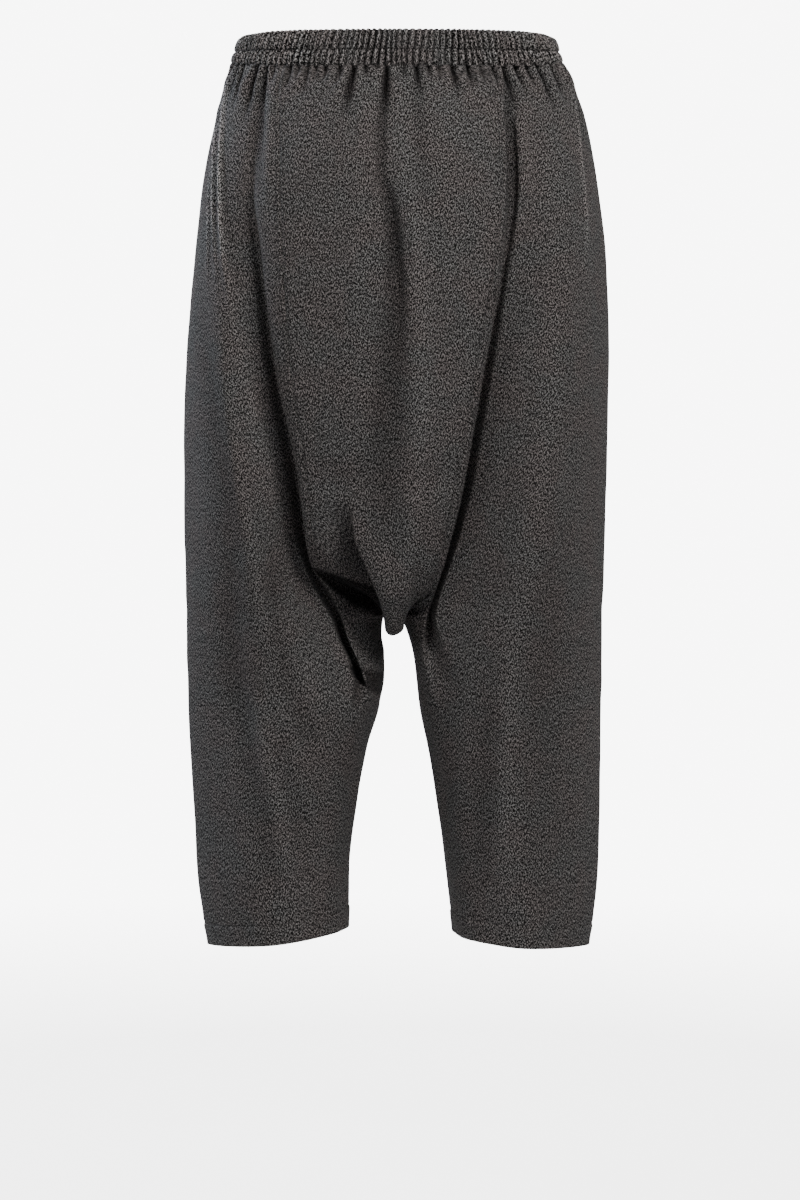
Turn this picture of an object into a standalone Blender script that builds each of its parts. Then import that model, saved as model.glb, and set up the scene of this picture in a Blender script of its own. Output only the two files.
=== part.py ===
"""Balloon trousers with a low crotch, worn shape, in metres, +Z up.

The origin is the middle of the waist ring, at the stitched line between the
waistband's two channels. The garment's back faces +Y and its left side is +X.

Each half of the garment is one smooth surface. A section across it runs from
the centre back, over the back panel, into the deep fold, over the leg, round
the side and across the front. The tables give that section's named points at
each drop below the waist. Below the crotch the same section closes round one
leg. The cloth pieces are cut out of these two surfaces.
"""
import bpy
import math
import numpy as np

MM = 0.001

# Driving dimensions, in millimetres
CLOTH = 1.5              # wall of the trousers' cloth
BAND_WALL = 2.6          # wall of the gathered casing
SEAM_GAP = 0.3           # space left between two sewn pieces
CROTCH_DROP = 547.0      # waist to the point where the legs part
HEM_DROP = 873.0         # waist to the outer end of the hems
HEM_RISE = {"left": 19.0, "right": 12.5}     # inner end of each hem above its outer end
HEM_RISE_FROM = 735.0    # below this the rows begin to slant with the hem

WAIST_HALF = {"left": 157.0, "right": 161.0}  # half width of the waist seam
WAIST_BACK = 112.0
WAIST_FRONT = 117.0
WAIST_ROUND = 2.25       # exponent of the rounded waist ring
SEAM_DROP_SIDE = 15.5    # waist seam below the origin at the sides
SEAM_DROP_BACK = 24.0    # and at the centre back
SEAM_DROP_FRONT = 19.0   # and at the centre front
BAND_TOP = 12.0          # top edge of the casing above the origin
BAND_TAPER = 6.0         # how far the casing's top edge leans in
CHANNEL_PUFF = 2.2       # how far each elastic channel swells
BAND_CLEAR = 0.5         # the casing's lower edge above the line of the waist seam
BAND_GATHERS = 84        # gathers round the casing
BAND_GATHER_DEPTH = 1.5
BAND_UNEVEN = 0.25       # share by which the casing's gathers differ in depth
BAND_SHIFT = 0.35        # and in place, in columns

GATHER_DEPTH = 2.1       # gathers under the waist seam
WAIST_FADE = 95.0        # height over which the rows level out from the dipping waist seam
GATHER_STEPS = 3         # columns in one gather
GATHER_UNEVEN = 0.38     # share by which the gathers differ in depth
GATHER_REACH = 76.0      # the deepest of them end this far below the waist seam

# Names of the section's points, from centre back round to centre front
STATIONS = ("centre", "tip", "recess", "curtain", "seam", "crest", "valley",
            "bulge", "side", "front_bulge", "front_valley", "front")

# Section points behind the side line, as x and y from the middle of the waist, drop by drop
BACK_COLUMNS = ("drop", "side", "bulge_x", "bulge_y", "valley_x", "valley_y",
                "crest_x", "crest_y", "seam_x", "seam_y")
BACK_ROWS = {
    "left": (
        (40, 165, 154, 52, 130, 80, 122, 89, 111, 98),
        (68, 172, 160, 58, 132, 87, 123, 98, 110, 108),
        (137, 187, 170, 69, 138, 97, 129, 111, 109, 125),
        (220, 196, 168, 88, 130, 96, 122, 118, 105, 131),
        (310, 203, 164, 100, 118, 86, 111, 115, 99, 126),
        (390, 205, 155, 107, 102, 75, 95, 110, 88, 116),
        (435, 205, 148, 110, 95, 65, 89, 104, 83, 109),
        (470, 205, 142, 111, 91, 57, 85, 97, 79, 101),
        (500, 204, 136, 111, 85, 47, 80, 74, 73, 78),
        (515, 204, 133, 111, 80, 43, 70, 56, 58, 48),
        (530, 204, 130, 111, 71, 40, 53, 44, 33, 20),
        (547, 203, 125, 110, 61, 42, 38, 34, 2, 3),
        (554, 203, 123, 110, 58, 43, 36, 33, 10, -3),
        (570, 203, 120, 109, 52, 46, 31, 33, 13, -5),
        (590, 203, 116, 107, 43, 53, 25, 37, 9, -6),
        (612, 202, 113, 105, 36, 64, 21, 46, 11, -6),
        (635, 202, 111, 103, 38, 76, 22, 46, 15, -6),
        (680, 200, 114, 100, 51, 74, 34, 42, 28, -5),
        (740, 197, 118, 95, 60, 69, 44, 39, 38, -4),
        (805, 194, 119, 90, 65, 65, 50, 37, 44, -3),
        (873, 184, 114, 85, 64, 61, 50, 34, 45, -2),
    ),
    "right": (
        (40, 173, 158, 58, 108, 97, 101, 104, 96, 107),
        (68, 183, 165, 64, 112, 103, 105, 112, 101, 115),
        (137, 196, 168, 86, 115, 108, 108, 124, 103, 128),
        (220, 205, 165, 101, 106, 102, 99, 128, 94, 133),
        (310, 208, 158, 109, 90, 90, 83, 124, 78, 129),
        (390, 207, 148, 112, 76, 78, 70, 114, 65, 119),
        (435, 206, 141, 113, 68, 68, 62, 105, 57, 110),
        (470, 205, 135, 113, 60, 60, 54, 96, 49, 101),
        (500, 204, 130, 113, 52, 51, 47, 84, 42, 89),
        (527, 203, 126, 112, 44, 42, 38, 60, 33, 64),
        (547, 202, 122, 111, 35, 33, 22, 22, 2, 3),
        (556, 202, 121, 111, 35, 35, 21, 20, 8, -3),
        (570, 202, 119, 110, 36, 41, 21, 20, 13, -5),
        (590, 202, 117, 108, 42, 56, 25, 28, 18, -6),
        (612, 202, 116, 106, 48, 66, 29, 35, 21, -6),
        (635, 201, 116, 104, 52, 72, 32, 38, 24, -5),
        (680, 201, 117, 100, 58, 72, 40, 40, 33, -5),
        (740, 200, 121, 95, 65, 68, 49, 38, 42, -4),
        (805, 198, 124, 90, 70, 64, 56, 36, 50, -3),
        (873, 189, 123, 85, 75, 60, 62, 33, 57, -2),
    ),
}

# The centre back from waist to crotch, and the front, which is alike on both halves
MIDDLE_COLUMNS = ("drop", "centre_y", "centre_fold", "front_bulge_x", "front_bulge_y",
                  "front_valley_x", "front_valley_y", "front_x", "front_y")
MIDDLE_ROWS = (
    (40, 124, 3.5, 130, -88, 66, -117, 0, -126),
    (68, 134, 4.5, 138, -95, 71, -124, 0, -134),
    (137, 150, 5, 147, -107, 78, -126, 0, -142),
    (220, 152, 5.5, 148, -116, 72, -122, 0, -142),
    (310, 145, 5, 145, -120, 62, -114, 0, -137),
    (390, 134, 4, 138, -120, 52, -103, 0, -128),
    (435, 125, 3, 134, -119, 46, -94, 0, -120),
    (470, 116, 2, 130, -118, 41, -84, 0, -108),
    (500, 108, 1, 127, -117, 38, -75, 0, -92),
    (527, 98, 0, 124, -116, 35, -66, 0, -62),
    (547, 82, 0, 122, -115, 33, -61, 1, -4),
    (570, 60, 0, 120, -113, 34, -63, 13, -5),
    (590, 60, 0, 118, -112, 35, -67, 14, -6),
    (612, 60, 0, 117, -110, 37, -69, 16, -6),
    (635, 60, 0, 116, -108, 41, -71, 20, -5),
    (680, 60, 0, 116, -103, 51, -71, 30, -5),
    (740, 60, 0, 119, -97, 59, -67, 40, -4),
    (805, 60, 0, 121, -91, 64, -61, 47, -3),
    (873, 60, 0, 118, -86, 66, -57, 51, -2),
)

# The low end of the back panel, where it hangs as a rounded tip between two folds
TIP_COLUMNS = ("drop", "tip_x", "tip_y", "recess_x", "recess_y", "curtain_x", "curtain_y")
TIP_ROWS = {
    "left": (
        (435, 40, 121, 50, 117, 66, 115),
        (470, 37, 112, 47, 98, 64, 102),
        (500, 26, 103, 40, 78, 60, 82),
        (515, 20, 98, 33, 66, 46, 56),
        (530, 14, 90, 21, 58, 27, 36),
        (547, 9, 76, 10, 52, 7, 24),
    ),
    "right": (
        (435, 20, 124, 33, 121, 46, 117),
        (470, 18, 115, 29, 112, 40, 107),
        (500, 16, 106, 25, 102, 34, 97),
        (527, 14, 94, 20, 86, 27, 76),
        (547, 9, 76, 12, 56, 8, 26),
    ),
}
TIP_BLEND = 45.0         # height over which the plain panel turns into the tip
PANEL_SHARES = (0.32, 0.56, 0.80)    # tip, recess and curtain along the plain panel
PANEL_ROUND = 2.2        # how late the plain panel bends down towards its seams
SLANT_DROP = 505.0       # below this the panel's seams run slantwise to the rows
SLANT_GAPS = 4.0         # and their gap along a row is wider by this, to stay open
CENTRE_X = 3.0           # the centre back lies a little to the left

# The tip's underside, from its lowest part in to the crotch: y and drop of its middle,
# its belly sideways, then y and drop of its edges
UNDER_ROWS = (
    (76, 556, 8.5, 3.6, 546.4),
    (63, 562, 8.0, 3.2, 546.9),
    (44, 563, 6.5, 2.8, 547.4),
    (22, 557, 4.0, 2.4, 547.9),
)
UNDER_EDGE = 1.5         # half width of the panel where it meets the crotch
UNDER_ROUND = 1.6        # how late its rows lift towards the edges

# Where the rows of the mesh lie, as drops
FINE_ROWS = (0.0, 9.0, 20.0, 34.0, 52.0)          # below the waist seam, with gathers
TRUNK_ROWS = (98, 130, 165, 200, 235, 270, 305, 340, 375, 408, 438, 465, 485, 502, 516, 528, 538, 547)
LEG_ROWS = (558, 572, 590, 611, 634, 665, 700, 735, 770, 805, 850, 873)

# Columns of the mesh between one section point and the next
COLUMNS = {("centre", "tip"): 2, ("tip", "recess"): 1, ("recess", "curtain"): 1,
           ("curtain", "seam"): 1, ("seam", "crest"): 1, ("crest", "valley"): 2,
           ("valley", "bulge"): 4, ("bulge", "side"): 4, ("side", "front_bulge"): 4,
           ("front_bulge", "front_valley"): 3, ("front_valley", "front"): 3}

CLOTH_COLOUR = (0.040, 0.038, 0.036)
CLOTH_ROUGHNESS = 0.92
SIGN = {"left": 1.0, "right": -1.0}


def clear_scene():
    for item in list(bpy.data.objects):
        bpy.data.objects.remove(item, do_unlink=True)


def cloth_material(name, shade):
    """A matt charcoal cloth; shade sets one piece a little apart from the next."""
    material = bpy.data.materials.new(name)
    material.use_nodes = True
    shader = material.node_tree.nodes["Principled BSDF"]
    shader.inputs["Base Color"].default_value = tuple(c * shade for c in CLOTH_COLOUR) + (1.0,)
    shader.inputs["Roughness"].default_value = CLOTH_ROUGHNESS
    shader.inputs["Metallic"].default_value = 0.0
    return material


def smooth_step(value):
    value = min(max(value, 0.0), 1.0)
    return value * value * (3.0 - 2.0 * value)


def slopes(drops, values):
    """Slopes of a smooth curve through a table's column that never overshoots."""
    steps = np.diff(drops)
    grades = np.diff(values) / steps
    result = np.zeros(len(values))
    for i in range(1, len(values) - 1):
        if grades[i - 1] * grades[i] > 0.0:
            before = 2.0 * steps[i] + steps[i - 1]
            after = steps[i] + 2.0 * steps[i - 1]
            result[i] = (before + after) / (before / grades[i - 1] + after / grades[i])
    result[0] = grades[0]
    result[-1] = grades[-1]
    return result


class Table:
    """Named columns read at any drop by a smooth curve through the rows."""

    def __init__(self, columns, rows):
        data = np.array(rows, dtype=float)
        self.drops = data[:, 0]
        self.columns = {}
        for i, name in enumerate(columns[1:], start=1):
            self.columns[name] = (data[:, i], slopes(self.drops, data[:, i]))

    def read(self, name, drop):
        values, grades = self.columns[name]
        i = int(np.clip(np.searchsorted(self.drops, drop) - 1, 0, len(self.drops) - 2))
        step = self.drops[i + 1] - self.drops[i]
        t = min(max((drop - self.drops[i]) / step, 0.0), 1.0)
        return ((1 + 2 * t) * (1 - t) ** 2 * values[i] + t * (1 - t) ** 2 * step * grades[i]
                + t * t * (3 - 2 * t) * values[i + 1] + t * t * (t - 1) * step * grades[i + 1])


BACK = {side: Table(BACK_COLUMNS, rows) for side, rows in BACK_ROWS.items()}
TIP = {side: Table(TIP_COLUMNS, rows) for side, rows in TIP_ROWS.items()}
MIDDLE = Table(MIDDLE_COLUMNS, MIDDLE_ROWS)
FIRST_DROP = MIDDLE_ROWS[0][0]


def ring_y(side, x, depth):
    """The waist ring's y at a given x, on its back (depth > 0) or front."""
    share = min(abs(x) / WAIST_HALF[side], 1.0)
    return depth * (1.0 - share ** WAIST_ROUND) ** (1.0 / WAIST_ROUND)


def waist_stations(side):
    """The section's points on the waist seam, where they lie on the plain ring."""
    first = BACK[side]
    narrower = WAIST_HALF[side] / first.read("side", FIRST_DROP)
    points = [(CENTRE_X, WAIST_BACK)]
    seam = first.read("seam_x", FIRST_DROP) * narrower
    for share in PANEL_SHARES:
        x = CENTRE_X * SIGN[side] + (seam - CENTRE_X * SIGN[side]) * share
        points.append((SIGN[side] * x, ring_y(side, x, WAIST_BACK)))
    for name in ("seam", "crest", "valley", "bulge"):
        x = first.read(name + "_x", FIRST_DROP) * narrower
        points.append((SIGN[side] * x, ring_y(side, x, WAIST_BACK)))
    points.append((SIGN[side] * WAIST_HALF[side], 0.0))
    for name in ("front_bulge", "front_valley"):
        x = MIDDLE.read(name + "_x", FIRST_DROP) * narrower
        points.append((SIGN[side] * x, ring_y(side, x, -WAIST_FRONT)))
    points.append((0.0, -WAIST_FRONT))
    return points


def plain_panel(side, drop):
    """Tip, recess and curtain points where the back panel is still a plain curve."""
    sign = SIGN[side]
    centre_y = MIDDLE.read("centre_y", drop)
    seam_x = BACK[side].read("seam_x", drop)
    seam_y = BACK[side].read("seam_y", drop)
    points = []
    for share in PANEL_SHARES:
        x = CENTRE_X * sign + (seam_x - CENTRE_X * sign) * share
        points.append((x, centre_y + (seam_y - centre_y) * share ** PANEL_ROUND))
    return points


def table_stations(side, drop):
    """The section's points at one drop, as the tables give them."""
    sign = SIGN[side]
    back = BACK[side]
    points = [(CENTRE_X, MIDDLE.read("centre_y", drop) - MIDDLE.read("centre_fold", drop))]
    plain = plain_panel(side, drop)
    first_tip = TIP_ROWS[side][0][0]
    share = smooth_step((drop - first_tip + TIP_BLEND) / TIP_BLEND)
    for (x, y), name in zip(plain, ("tip", "recess", "curtain")):
        x += share * (TIP[side].read(name + "_x", drop) - x)
        y += share * (TIP[side].read(name + "_y", drop) - y)
        points.append((sign * x, y))
    for name in ("seam", "crest", "valley", "bulge"):
        points.append((sign * back.read(name + "_x", drop), back.read(name + "_y", drop)))
    points.append((sign * back.read("side", drop), 0.0))
    for name in ("front_bulge", "front_valley"):
        points.append((sign * MIDDLE.read(name + "_x", drop), MIDDLE.read(name + "_y", drop)))
    if drop > CROTCH_DROP:
        points.append(points[STATIONS.index("seam")])
    else:
        points.append((sign * MIDDLE.read("front_x", drop), MIDDLE.read("front_y", drop)))
    return points


def stations(side, drop):
    """All the section's points at one drop; the waist ring blends into the tables."""
    if drop >= FIRST_DROP:
        return np.array(table_stations(side, drop))
    way = max((drop - SEAM_DROP_SIDE) / (FIRST_DROP - SEAM_DROP_SIDE), 0.0)
    eased = smooth_step(way * 0.5 + 0.5) * 2.0 - 1.0
    share = (way + eased) * 0.5
    ring = np.array(waist_stations(side))
    lower = np.array(table_stations(side, FIRST_DROP))
    return ring + (lower - ring) * share


def section_point(side, place, drop):
    """x and y at a place along the section: 0 is the centre back, 11 the centre front."""
    last = len(STATIONS) - 1
    seam = STATIONS.index("seam")
    if drop > CROTCH_DROP:
        if place < seam:
            place += last - seam
        elif place > last:
            place += seam - last
    elif place < 0 or place > last:
        side = "right" if side == "left" else "left"
        place = -place if place < 0 else 2 * last - place
    points = stations(side, drop)
    i = int(min(math.floor(place), last - 1))
    start = points[i]
    end = points[i + 1]
    if drop > CROTCH_DROP:
        before = points[i - 1] if i > seam else points[last - 1]
        after = points[i + 2] if i + 2 <= last else points[seam + 1]
    else:
        mirrored = stations("right" if side == "left" else "left", drop)
        before = points[i - 1] if i > 0 else mirrored[1]
        after = points[i + 2] if i + 2 <= last else mirrored[last - 1]
    return curve_between(before, start, end, after, place - i)


def curve_between(before, start, end, after, t):
    """One stretch of a rounded curve through four points, free of loops."""
    gap_a = math.sqrt(max(np.linalg.norm(start - before), 1e-6))
    gap_b = math.sqrt(max(np.linalg.norm(end - start), 1e-6))
    gap_c = math.sqrt(max(np.linalg.norm(after - end), 1e-6))
    leave = ((start - before) / gap_a - (end - before) / (gap_a + gap_b) + (end - start) / gap_b) * gap_b
    arrive = ((end - start) / gap_b - (after - start) / (gap_b + gap_c) + (after - end) / gap_c) * gap_b
    return ((1 + 2 * t) * (1 - t) ** 2 * start + t * (1 - t) ** 2 * leave
            + t * t * (3 - 2 * t) * end + t * t * (t - 1) * arrive)


def seam_dip(y):
    """How far the waist seam lies below its side level at a place round the ring."""
    if y > 0.0:
        return (SEAM_DROP_BACK - SEAM_DROP_SIDE) * smooth_step(y / WAIST_BACK)
    return (SEAM_DROP_FRONT - SEAM_DROP_SIDE) * smooth_step(-y / WAIST_FRONT)


def surface(side, place, drop):
    """A point on the trousers' outer surface, in millimetres."""
    x, y = section_point(side, place, drop)
    top_share = 1.0 - smooth_step((drop - SEAM_DROP_SIDE) / WAIST_FADE)
    z = -drop - top_share * seam_dip(y)
    hem_share = smooth_step((drop - HEM_RISE_FROM) / (HEM_DROP - HEM_RISE_FROM))
    if hem_share > 0.0:
        inner = BACK[side].read("seam_x", HEM_DROP)
        outer = BACK[side].read("side", HEM_DROP)
        z += hem_share * HEM_RISE[side] * (outer - abs(x)) / (outer - inner)
    return np.array((x, y, z))


def normal(side, place, drop):
    """The outward direction of the surface at a place."""
    along = 0.02
    down = 0.8
    across = surface(side, place + along, drop) - surface(side, place - along, drop)
    falling = surface(side, place, drop + down) - surface(side, place, drop - down)
    if CROTCH_DROP - down < drop <= CROTCH_DROP:
        falling = surface(side, place, drop) - surface(side, place, drop - down)
    elif CROTCH_DROP < drop < CROTCH_DROP + down:
        falling = surface(side, place, drop + down) - surface(side, place, drop)
    out = np.cross(across, falling) * SIGN[side]
    return out / np.linalg.norm(out)


def places(first, last, factor):
    """Places of a row's columns from one named point to another."""
    result = []
    start = STATIONS.index(first)
    end = STATIONS.index(last)
    for i in range(start, end):
        count = COLUMNS[(STATIONS[i], STATIONS[i + 1])] * factor
        result += [i + k / count for k in range(count)]
    result.append(float(end))
    return result


def pull_in(side, spots, drop):
    """Moves a row's two ends inward by half of the seam gap."""
    spots = list(spots)
    for end, way in ((0, 1.0), (-1, -1.0)):
        small = 0.01 * way
        length = np.linalg.norm(surface(side, spots[end] + small, drop) - surface(side, spots[end], drop))
        gap = SEAM_GAP / 2.0
        if spots[end] == STATIONS.index("seam") and SLANT_DROP < drop < CROTCH_DROP:
            gap *= SLANT_GAPS
        spots[end] += small * gap / max(length, 1e-6)
    return spots


def gather(number, below):
    """Depth of the gather at a fine column, dying out below the waist seam."""
    wave = 1.0 if number % GATHER_STEPS == 0 else -0.5
    turn = 2.1 * (number // GATHER_STEPS) + 0.7
    strength = 1.0 - GATHER_UNEVEN + GATHER_UNEVEN * math.sin(turn)
    return GATHER_DEPTH * wave * strength * (1.0 - smooth_step(below / GATHER_REACH))


def leg_panel_rows(side, first, last):
    """Outer and inner points of one leg panel, a row at a time."""
    rows = []
    coarse = places(first, last, 1)
    fine = places(first, last, GATHER_STEPS)
    for below in FINE_ROWS:
        drop = SEAM_DROP_SIDE + SEAM_GAP / 2.0 + below
        rows.append(wall_row(side, pull_in(side, fine, drop), drop, below))
    for drop in TRUNK_ROWS + LEG_ROWS:
        rows.append(wall_row(side, pull_in(side, coarse, drop), drop, None))
    return rows


def wall_row(side, spots, drop, below):
    """A row's outer points and the inner ones behind them."""
    outer = []
    inner = []
    for number, spot in enumerate(spots):
        point = surface(side, spot, drop)
        out = normal(side, spot, drop)
        if below == 0.0:
            out[2] = 0.0
            out /= np.linalg.norm(out)
        if below is not None:
            point = point + out * gather(number, below)
        outer.append(point)
        inner.append(point - out * CLOTH)
    return outer, inner


def back_centre_rows():
    """Rows of the back panel: across from its left seam to its right seam."""
    rows = []
    for below in FINE_ROWS:
        drop = SEAM_DROP_SIDE + SEAM_GAP / 2.0 + below
        rows.append(joined_row(drop, GATHER_STEPS, below))
    for drop in TRUNK_ROWS[:-1]:
        rows.append(joined_row(drop, 1, None))
    rows += under_rows(len(rows[-1][0]))
    return rows


def joined_row(drop, factor, below):
    """One row over both halves of the back panel."""
    half = places("centre", "seam", factor)
    outer = []
    inner = []
    for side in ("left", "right"):
        spots = list(half)
        spots[-1] = pull_in(side, (0.5, spots[-1]), drop)[1]
        part_outer, part_inner = wall_row(side, spots, drop, below)
        if side == "left":
            part_outer.reverse()
            part_inner.reverse()
            outer += part_outer[:-1]
            inner += part_inner[:-1]
        else:
            outer += part_outer
            inner += part_inner
    return outer, inner


def under_rows(count):
    """The tip's last rows, which curl under and in towards the crotch."""
    rows = []
    for middle_y, middle_drop, belly, edge_y, edge_drop in UNDER_ROWS:
        outer = []
        inner = []
        for number in range(count):
            share = 2.0 * number / (count - 1) - 1.0
            lift = abs(share) ** UNDER_ROUND
            wide = belly * math.sin(math.pi * abs(share)) + UNDER_EDGE * abs(share)
            x = CENTRE_X * (1.0 - abs(share)) - math.copysign(wide, share)
            y = middle_y + (edge_y - middle_y) * lift
            z = -(middle_drop + (edge_drop - middle_drop) * lift)
            point = np.array((x, y, z))
            out = np.array((-share, 0.3 * (1.0 - abs(share)), -1.0))
            out /= np.linalg.norm(out)
            outer.append(point)
            inner.append(point - out * CLOTH)
        rows.append((outer, inner))
    return rows


def row_faces(upper, lower, flip):
    """Faces between two rows of point numbers; the upper may be finer."""
    faces = []
    ratio = (len(upper) - 1) // (len(lower) - 1)
    for k in range(len(lower) - 1):
        fan = [upper[k * ratio + j] for j in range(ratio + 1)]
        middle = (ratio + 1) // 2
        if ratio == 1:
            faces.append([fan[0], fan[1], lower[k + 1], lower[k]])
            continue
        for j in range(ratio):
            foot = lower[k] if j < middle else lower[k + 1]
            faces.append([fan[j], fan[j + 1], foot])
        faces.append([fan[middle], lower[k + 1], lower[k]])
    if flip:
        faces = [face[::-1] for face in faces]
    return faces


def wall_mesh(name, rows, material, mirrored):
    """A closed wall from rows of outer and inner points."""
    points = []
    outer_rows = []
    inner_rows = []
    for outer, inner in rows:
        outer_rows.append(list(range(len(points), len(points) + len(outer))))
        points += outer
        inner_rows.append(list(range(len(points), len(points) + len(inner))))
        points += inner
    faces = []
    for i in range(len(rows) - 1):
        faces += row_faces(outer_rows[i], outer_rows[i + 1], mirrored)
        faces += row_faces(inner_rows[i], inner_rows[i + 1], not mirrored)
    faces += edge_faces(outer_rows[0], inner_rows[0], not mirrored)
    faces += edge_faces(outer_rows[-1], inner_rows[-1], mirrored)
    left_outer = [row[0] for row in outer_rows]
    left_inner = [row[0] for row in inner_rows]
    right_outer = [row[-1] for row in outer_rows]
    right_inner = [row[-1] for row in inner_rows]
    faces += edge_faces(left_outer, left_inner, mirrored)
    faces += edge_faces(right_outer, right_inner, not mirrored)
    return make_object(name, points, faces, material)


def edge_faces(outer, inner, flip):
    """The narrow faces of a cloth edge."""
    faces = [[outer[k], outer[k + 1], inner[k + 1], inner[k]] for k in range(len(outer) - 1)]
    if flip:
        faces = [face[::-1] for face in faces]
    return faces


def make_object(name, points, faces, material):
    mesh = bpy.data.meshes.new(name)
    mesh.from_pydata([tuple(float(c) * MM for c in point) for point in points], [], faces)
    mesh.validate()
    mesh.shade_smooth()
    mesh.materials.append(material)
    item = bpy.data.objects.new(name, mesh)
    bpy.context.collection.objects.link(item)
    return item


def band_ring_point(turn, grow):
    """A point on the waist ring at a turn from the centre back, grown outward."""
    angle = math.pi / 2.0 + turn
    c, s = math.cos(angle), math.sin(angle)
    side = "left" if c > 0.0 else "right"
    half = WAIST_HALF[side] + grow
    depth = (WAIST_BACK if s > 0.0 else WAIST_FRONT) + grow
    x = math.copysign(half * abs(c) ** (2.0 / WAIST_ROUND), c)
    y = math.copysign(depth * abs(s) ** (2.0 / WAIST_ROUND), s)
    return x, y


def build_waistband(material):
    """The self-cloth casing: two gathered channels over flat elastic."""
    steps = 3
    count = BAND_GATHERS * steps
    # height share from seam to top edge, puff share and gather share of each outer ring
    profile = ((0.0, 0.1, 0.9), (0.22, 1.0, 1.0), (0.47, 0.05, 0.55), (0.74, 1.0, 1.0), (0.97, 0.35, 0.9))
    rings = []
    for height, puff, share in profile:
        rings.append([band_point(k, count, steps, height, puff, share, 0.0) for k in range(count)])
    for height in (0.97, 0.0):
        rings.append([band_point(k, count, steps, height, 0.0, 0.55, BAND_WALL) for k in range(count)])
    points = [point for ring in rings for point in ring]
    faces = []
    for i in range(len(rings)):
        a = i * count
        b = ((i + 1) % len(rings)) * count
        for k in range(count):
            n = (k + 1) % count
            faces.append([a + k, b + k, b + n, a + n])
    faces = [face[::-1] for face in faces]
    return make_object("waistband", points, faces, material)


def band_point(k, count, steps, height, puff, share, inward):
    number = k // steps
    turn = 2.0 * math.pi * (k + BAND_SHIFT * math.sin(1.7 * number)) / count
    wave = 1.0 if k % steps == 0 else -0.5
    depth = BAND_GATHER_DEPTH * share * (1.0 - BAND_UNEVEN + BAND_UNEVEN * math.sin(2.7 * number))
    grow = puff * CHANNEL_PUFF - BAND_TAPER * height + wave * depth - inward
    x, y = band_ring_point(turn, grow)
    foot = -SEAM_DROP_SIDE - seam_dip(band_ring_point(turn, 0.0)[1]) + BAND_CLEAR
    z = foot + (BAND_TOP - foot) * height
    return x, y, z


def build():
    clear_scene()
    build_waistband(cloth_material("cloth_waistband", 1.1))
    wall_mesh("back_centre", back_centre_rows(), cloth_material("cloth_back_centre", 1.0), True)
    for side, mirrored in (("left", False), ("right", True)):
        back = leg_panel_rows(side, "seam", "side")
        wall_mesh("back_" + side, back, cloth_material("cloth_back_" + side, 0.95), mirrored)
        front = leg_panel_rows(side, "side", "front")
        wall_mesh("front_" + side, front, cloth_material("cloth_front_" + side, 0.9), mirrored)


build()
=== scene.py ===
"""Balloon trousers, worn shape, seen from behind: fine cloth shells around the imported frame.

Every panel repeats the section tables of its solid, in millimetres, and adds the gathers,
folds, hems and stitches that the cloth has. The origin is the middle of the waist, +Z is
up, the garment's back faces +Y and its left side is +X.
"""
import math
import bpy
import numpy as np
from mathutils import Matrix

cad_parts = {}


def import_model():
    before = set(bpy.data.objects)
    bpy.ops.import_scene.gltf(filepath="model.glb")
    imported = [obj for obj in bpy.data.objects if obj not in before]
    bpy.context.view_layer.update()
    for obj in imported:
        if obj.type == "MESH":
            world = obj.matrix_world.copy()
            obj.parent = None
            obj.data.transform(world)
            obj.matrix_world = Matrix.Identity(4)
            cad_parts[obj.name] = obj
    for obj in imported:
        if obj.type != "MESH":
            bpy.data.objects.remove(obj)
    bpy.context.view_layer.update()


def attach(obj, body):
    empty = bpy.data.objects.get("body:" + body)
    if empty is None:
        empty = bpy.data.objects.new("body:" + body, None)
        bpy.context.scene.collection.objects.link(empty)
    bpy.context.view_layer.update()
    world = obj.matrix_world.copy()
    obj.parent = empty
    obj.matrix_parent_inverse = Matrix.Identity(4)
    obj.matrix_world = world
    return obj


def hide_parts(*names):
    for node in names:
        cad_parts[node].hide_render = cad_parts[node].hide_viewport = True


MM = 0.001

# ---------------- sizes, in millimetres
CLOTH = 1.0              # thickness of the cloth shell
SEAM_LAP = 0.3           # neighbouring panels' edges lap by this much, so that no light shows
SEAM_DIP = 0.9           # how far the cloth dips at a seam, and over what width
SEAM_DIP_WIDTH = 1.6
CROTCH_DROP = 547.0
HEM_DROP = 873.0
HEM_SWING_DROP = 735.0   # from here down the rows rise towards the inseam
HEM_RISE = {"left": 19.0, "right": 12.5}
HEM_HEIGHT = 21.0        # hem stitch above the hem's edge
HEM_SHELL_STEP = 0.7     # the turned hem stands out by this much
HEM_DIMPLE = 0.9         # depth of the groove along the hem's stitch
HEM_MIDDLE = 118.0       # x of the middle of a leg at its hem
# Slight puckers along the hem's stitch: height, waves in a turn, phase; and how far they reach
HEM_PUCKERS = ((0.35, 34.0, 0.0), (0.3, 19.0, 1.0))
HEM_PUCKER_REACH = 9.0
HEM_DIMPLE_WIDTH = 1.7

WAIST_HALF = {"left": 157.0, "right": 161.0}
WAIST_BACK = 112.0
WAIST_FRONT = 117.0
WAIST_ROUND = 2.25
SEAM_DROP_SIDE = 15.5
SEAM_DROP_BACK = 24.0
SEAM_DROP_FRONT = 19.0
GATHER_FADE = 95.0
DRAPE_FADE = 60.0

SIGN = {"left": 1.0, "right": -1.0}
OTHER = {"left": "right", "right": "left"}
CLOTH_SLOT = "trouser_cloth"
BAND_SLOT = "casing_cloth"
PAINTED_LIGHT_NAME = "painted_light"       # painted light and shade: the share of its light that the cloth keeps at each point, multiplied into its colour

STATIONS = ("centre", "tip", "recess", "curtain", "seam", "crest", "valley",
            "bulge", "side", "front_bulge", "front_valley", "front")
TIP_NAMES = STATIONS[1:4]
BACK_NAMES = STATIONS[4:8]
FRONT_NAMES = STATIONS[9:11]
SEAM, CREST, VALLEY, SIDE = map(STATIONS.index, ("seam", "crest", "valley", "side"))
LAST = len(STATIONS) - 1

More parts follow.
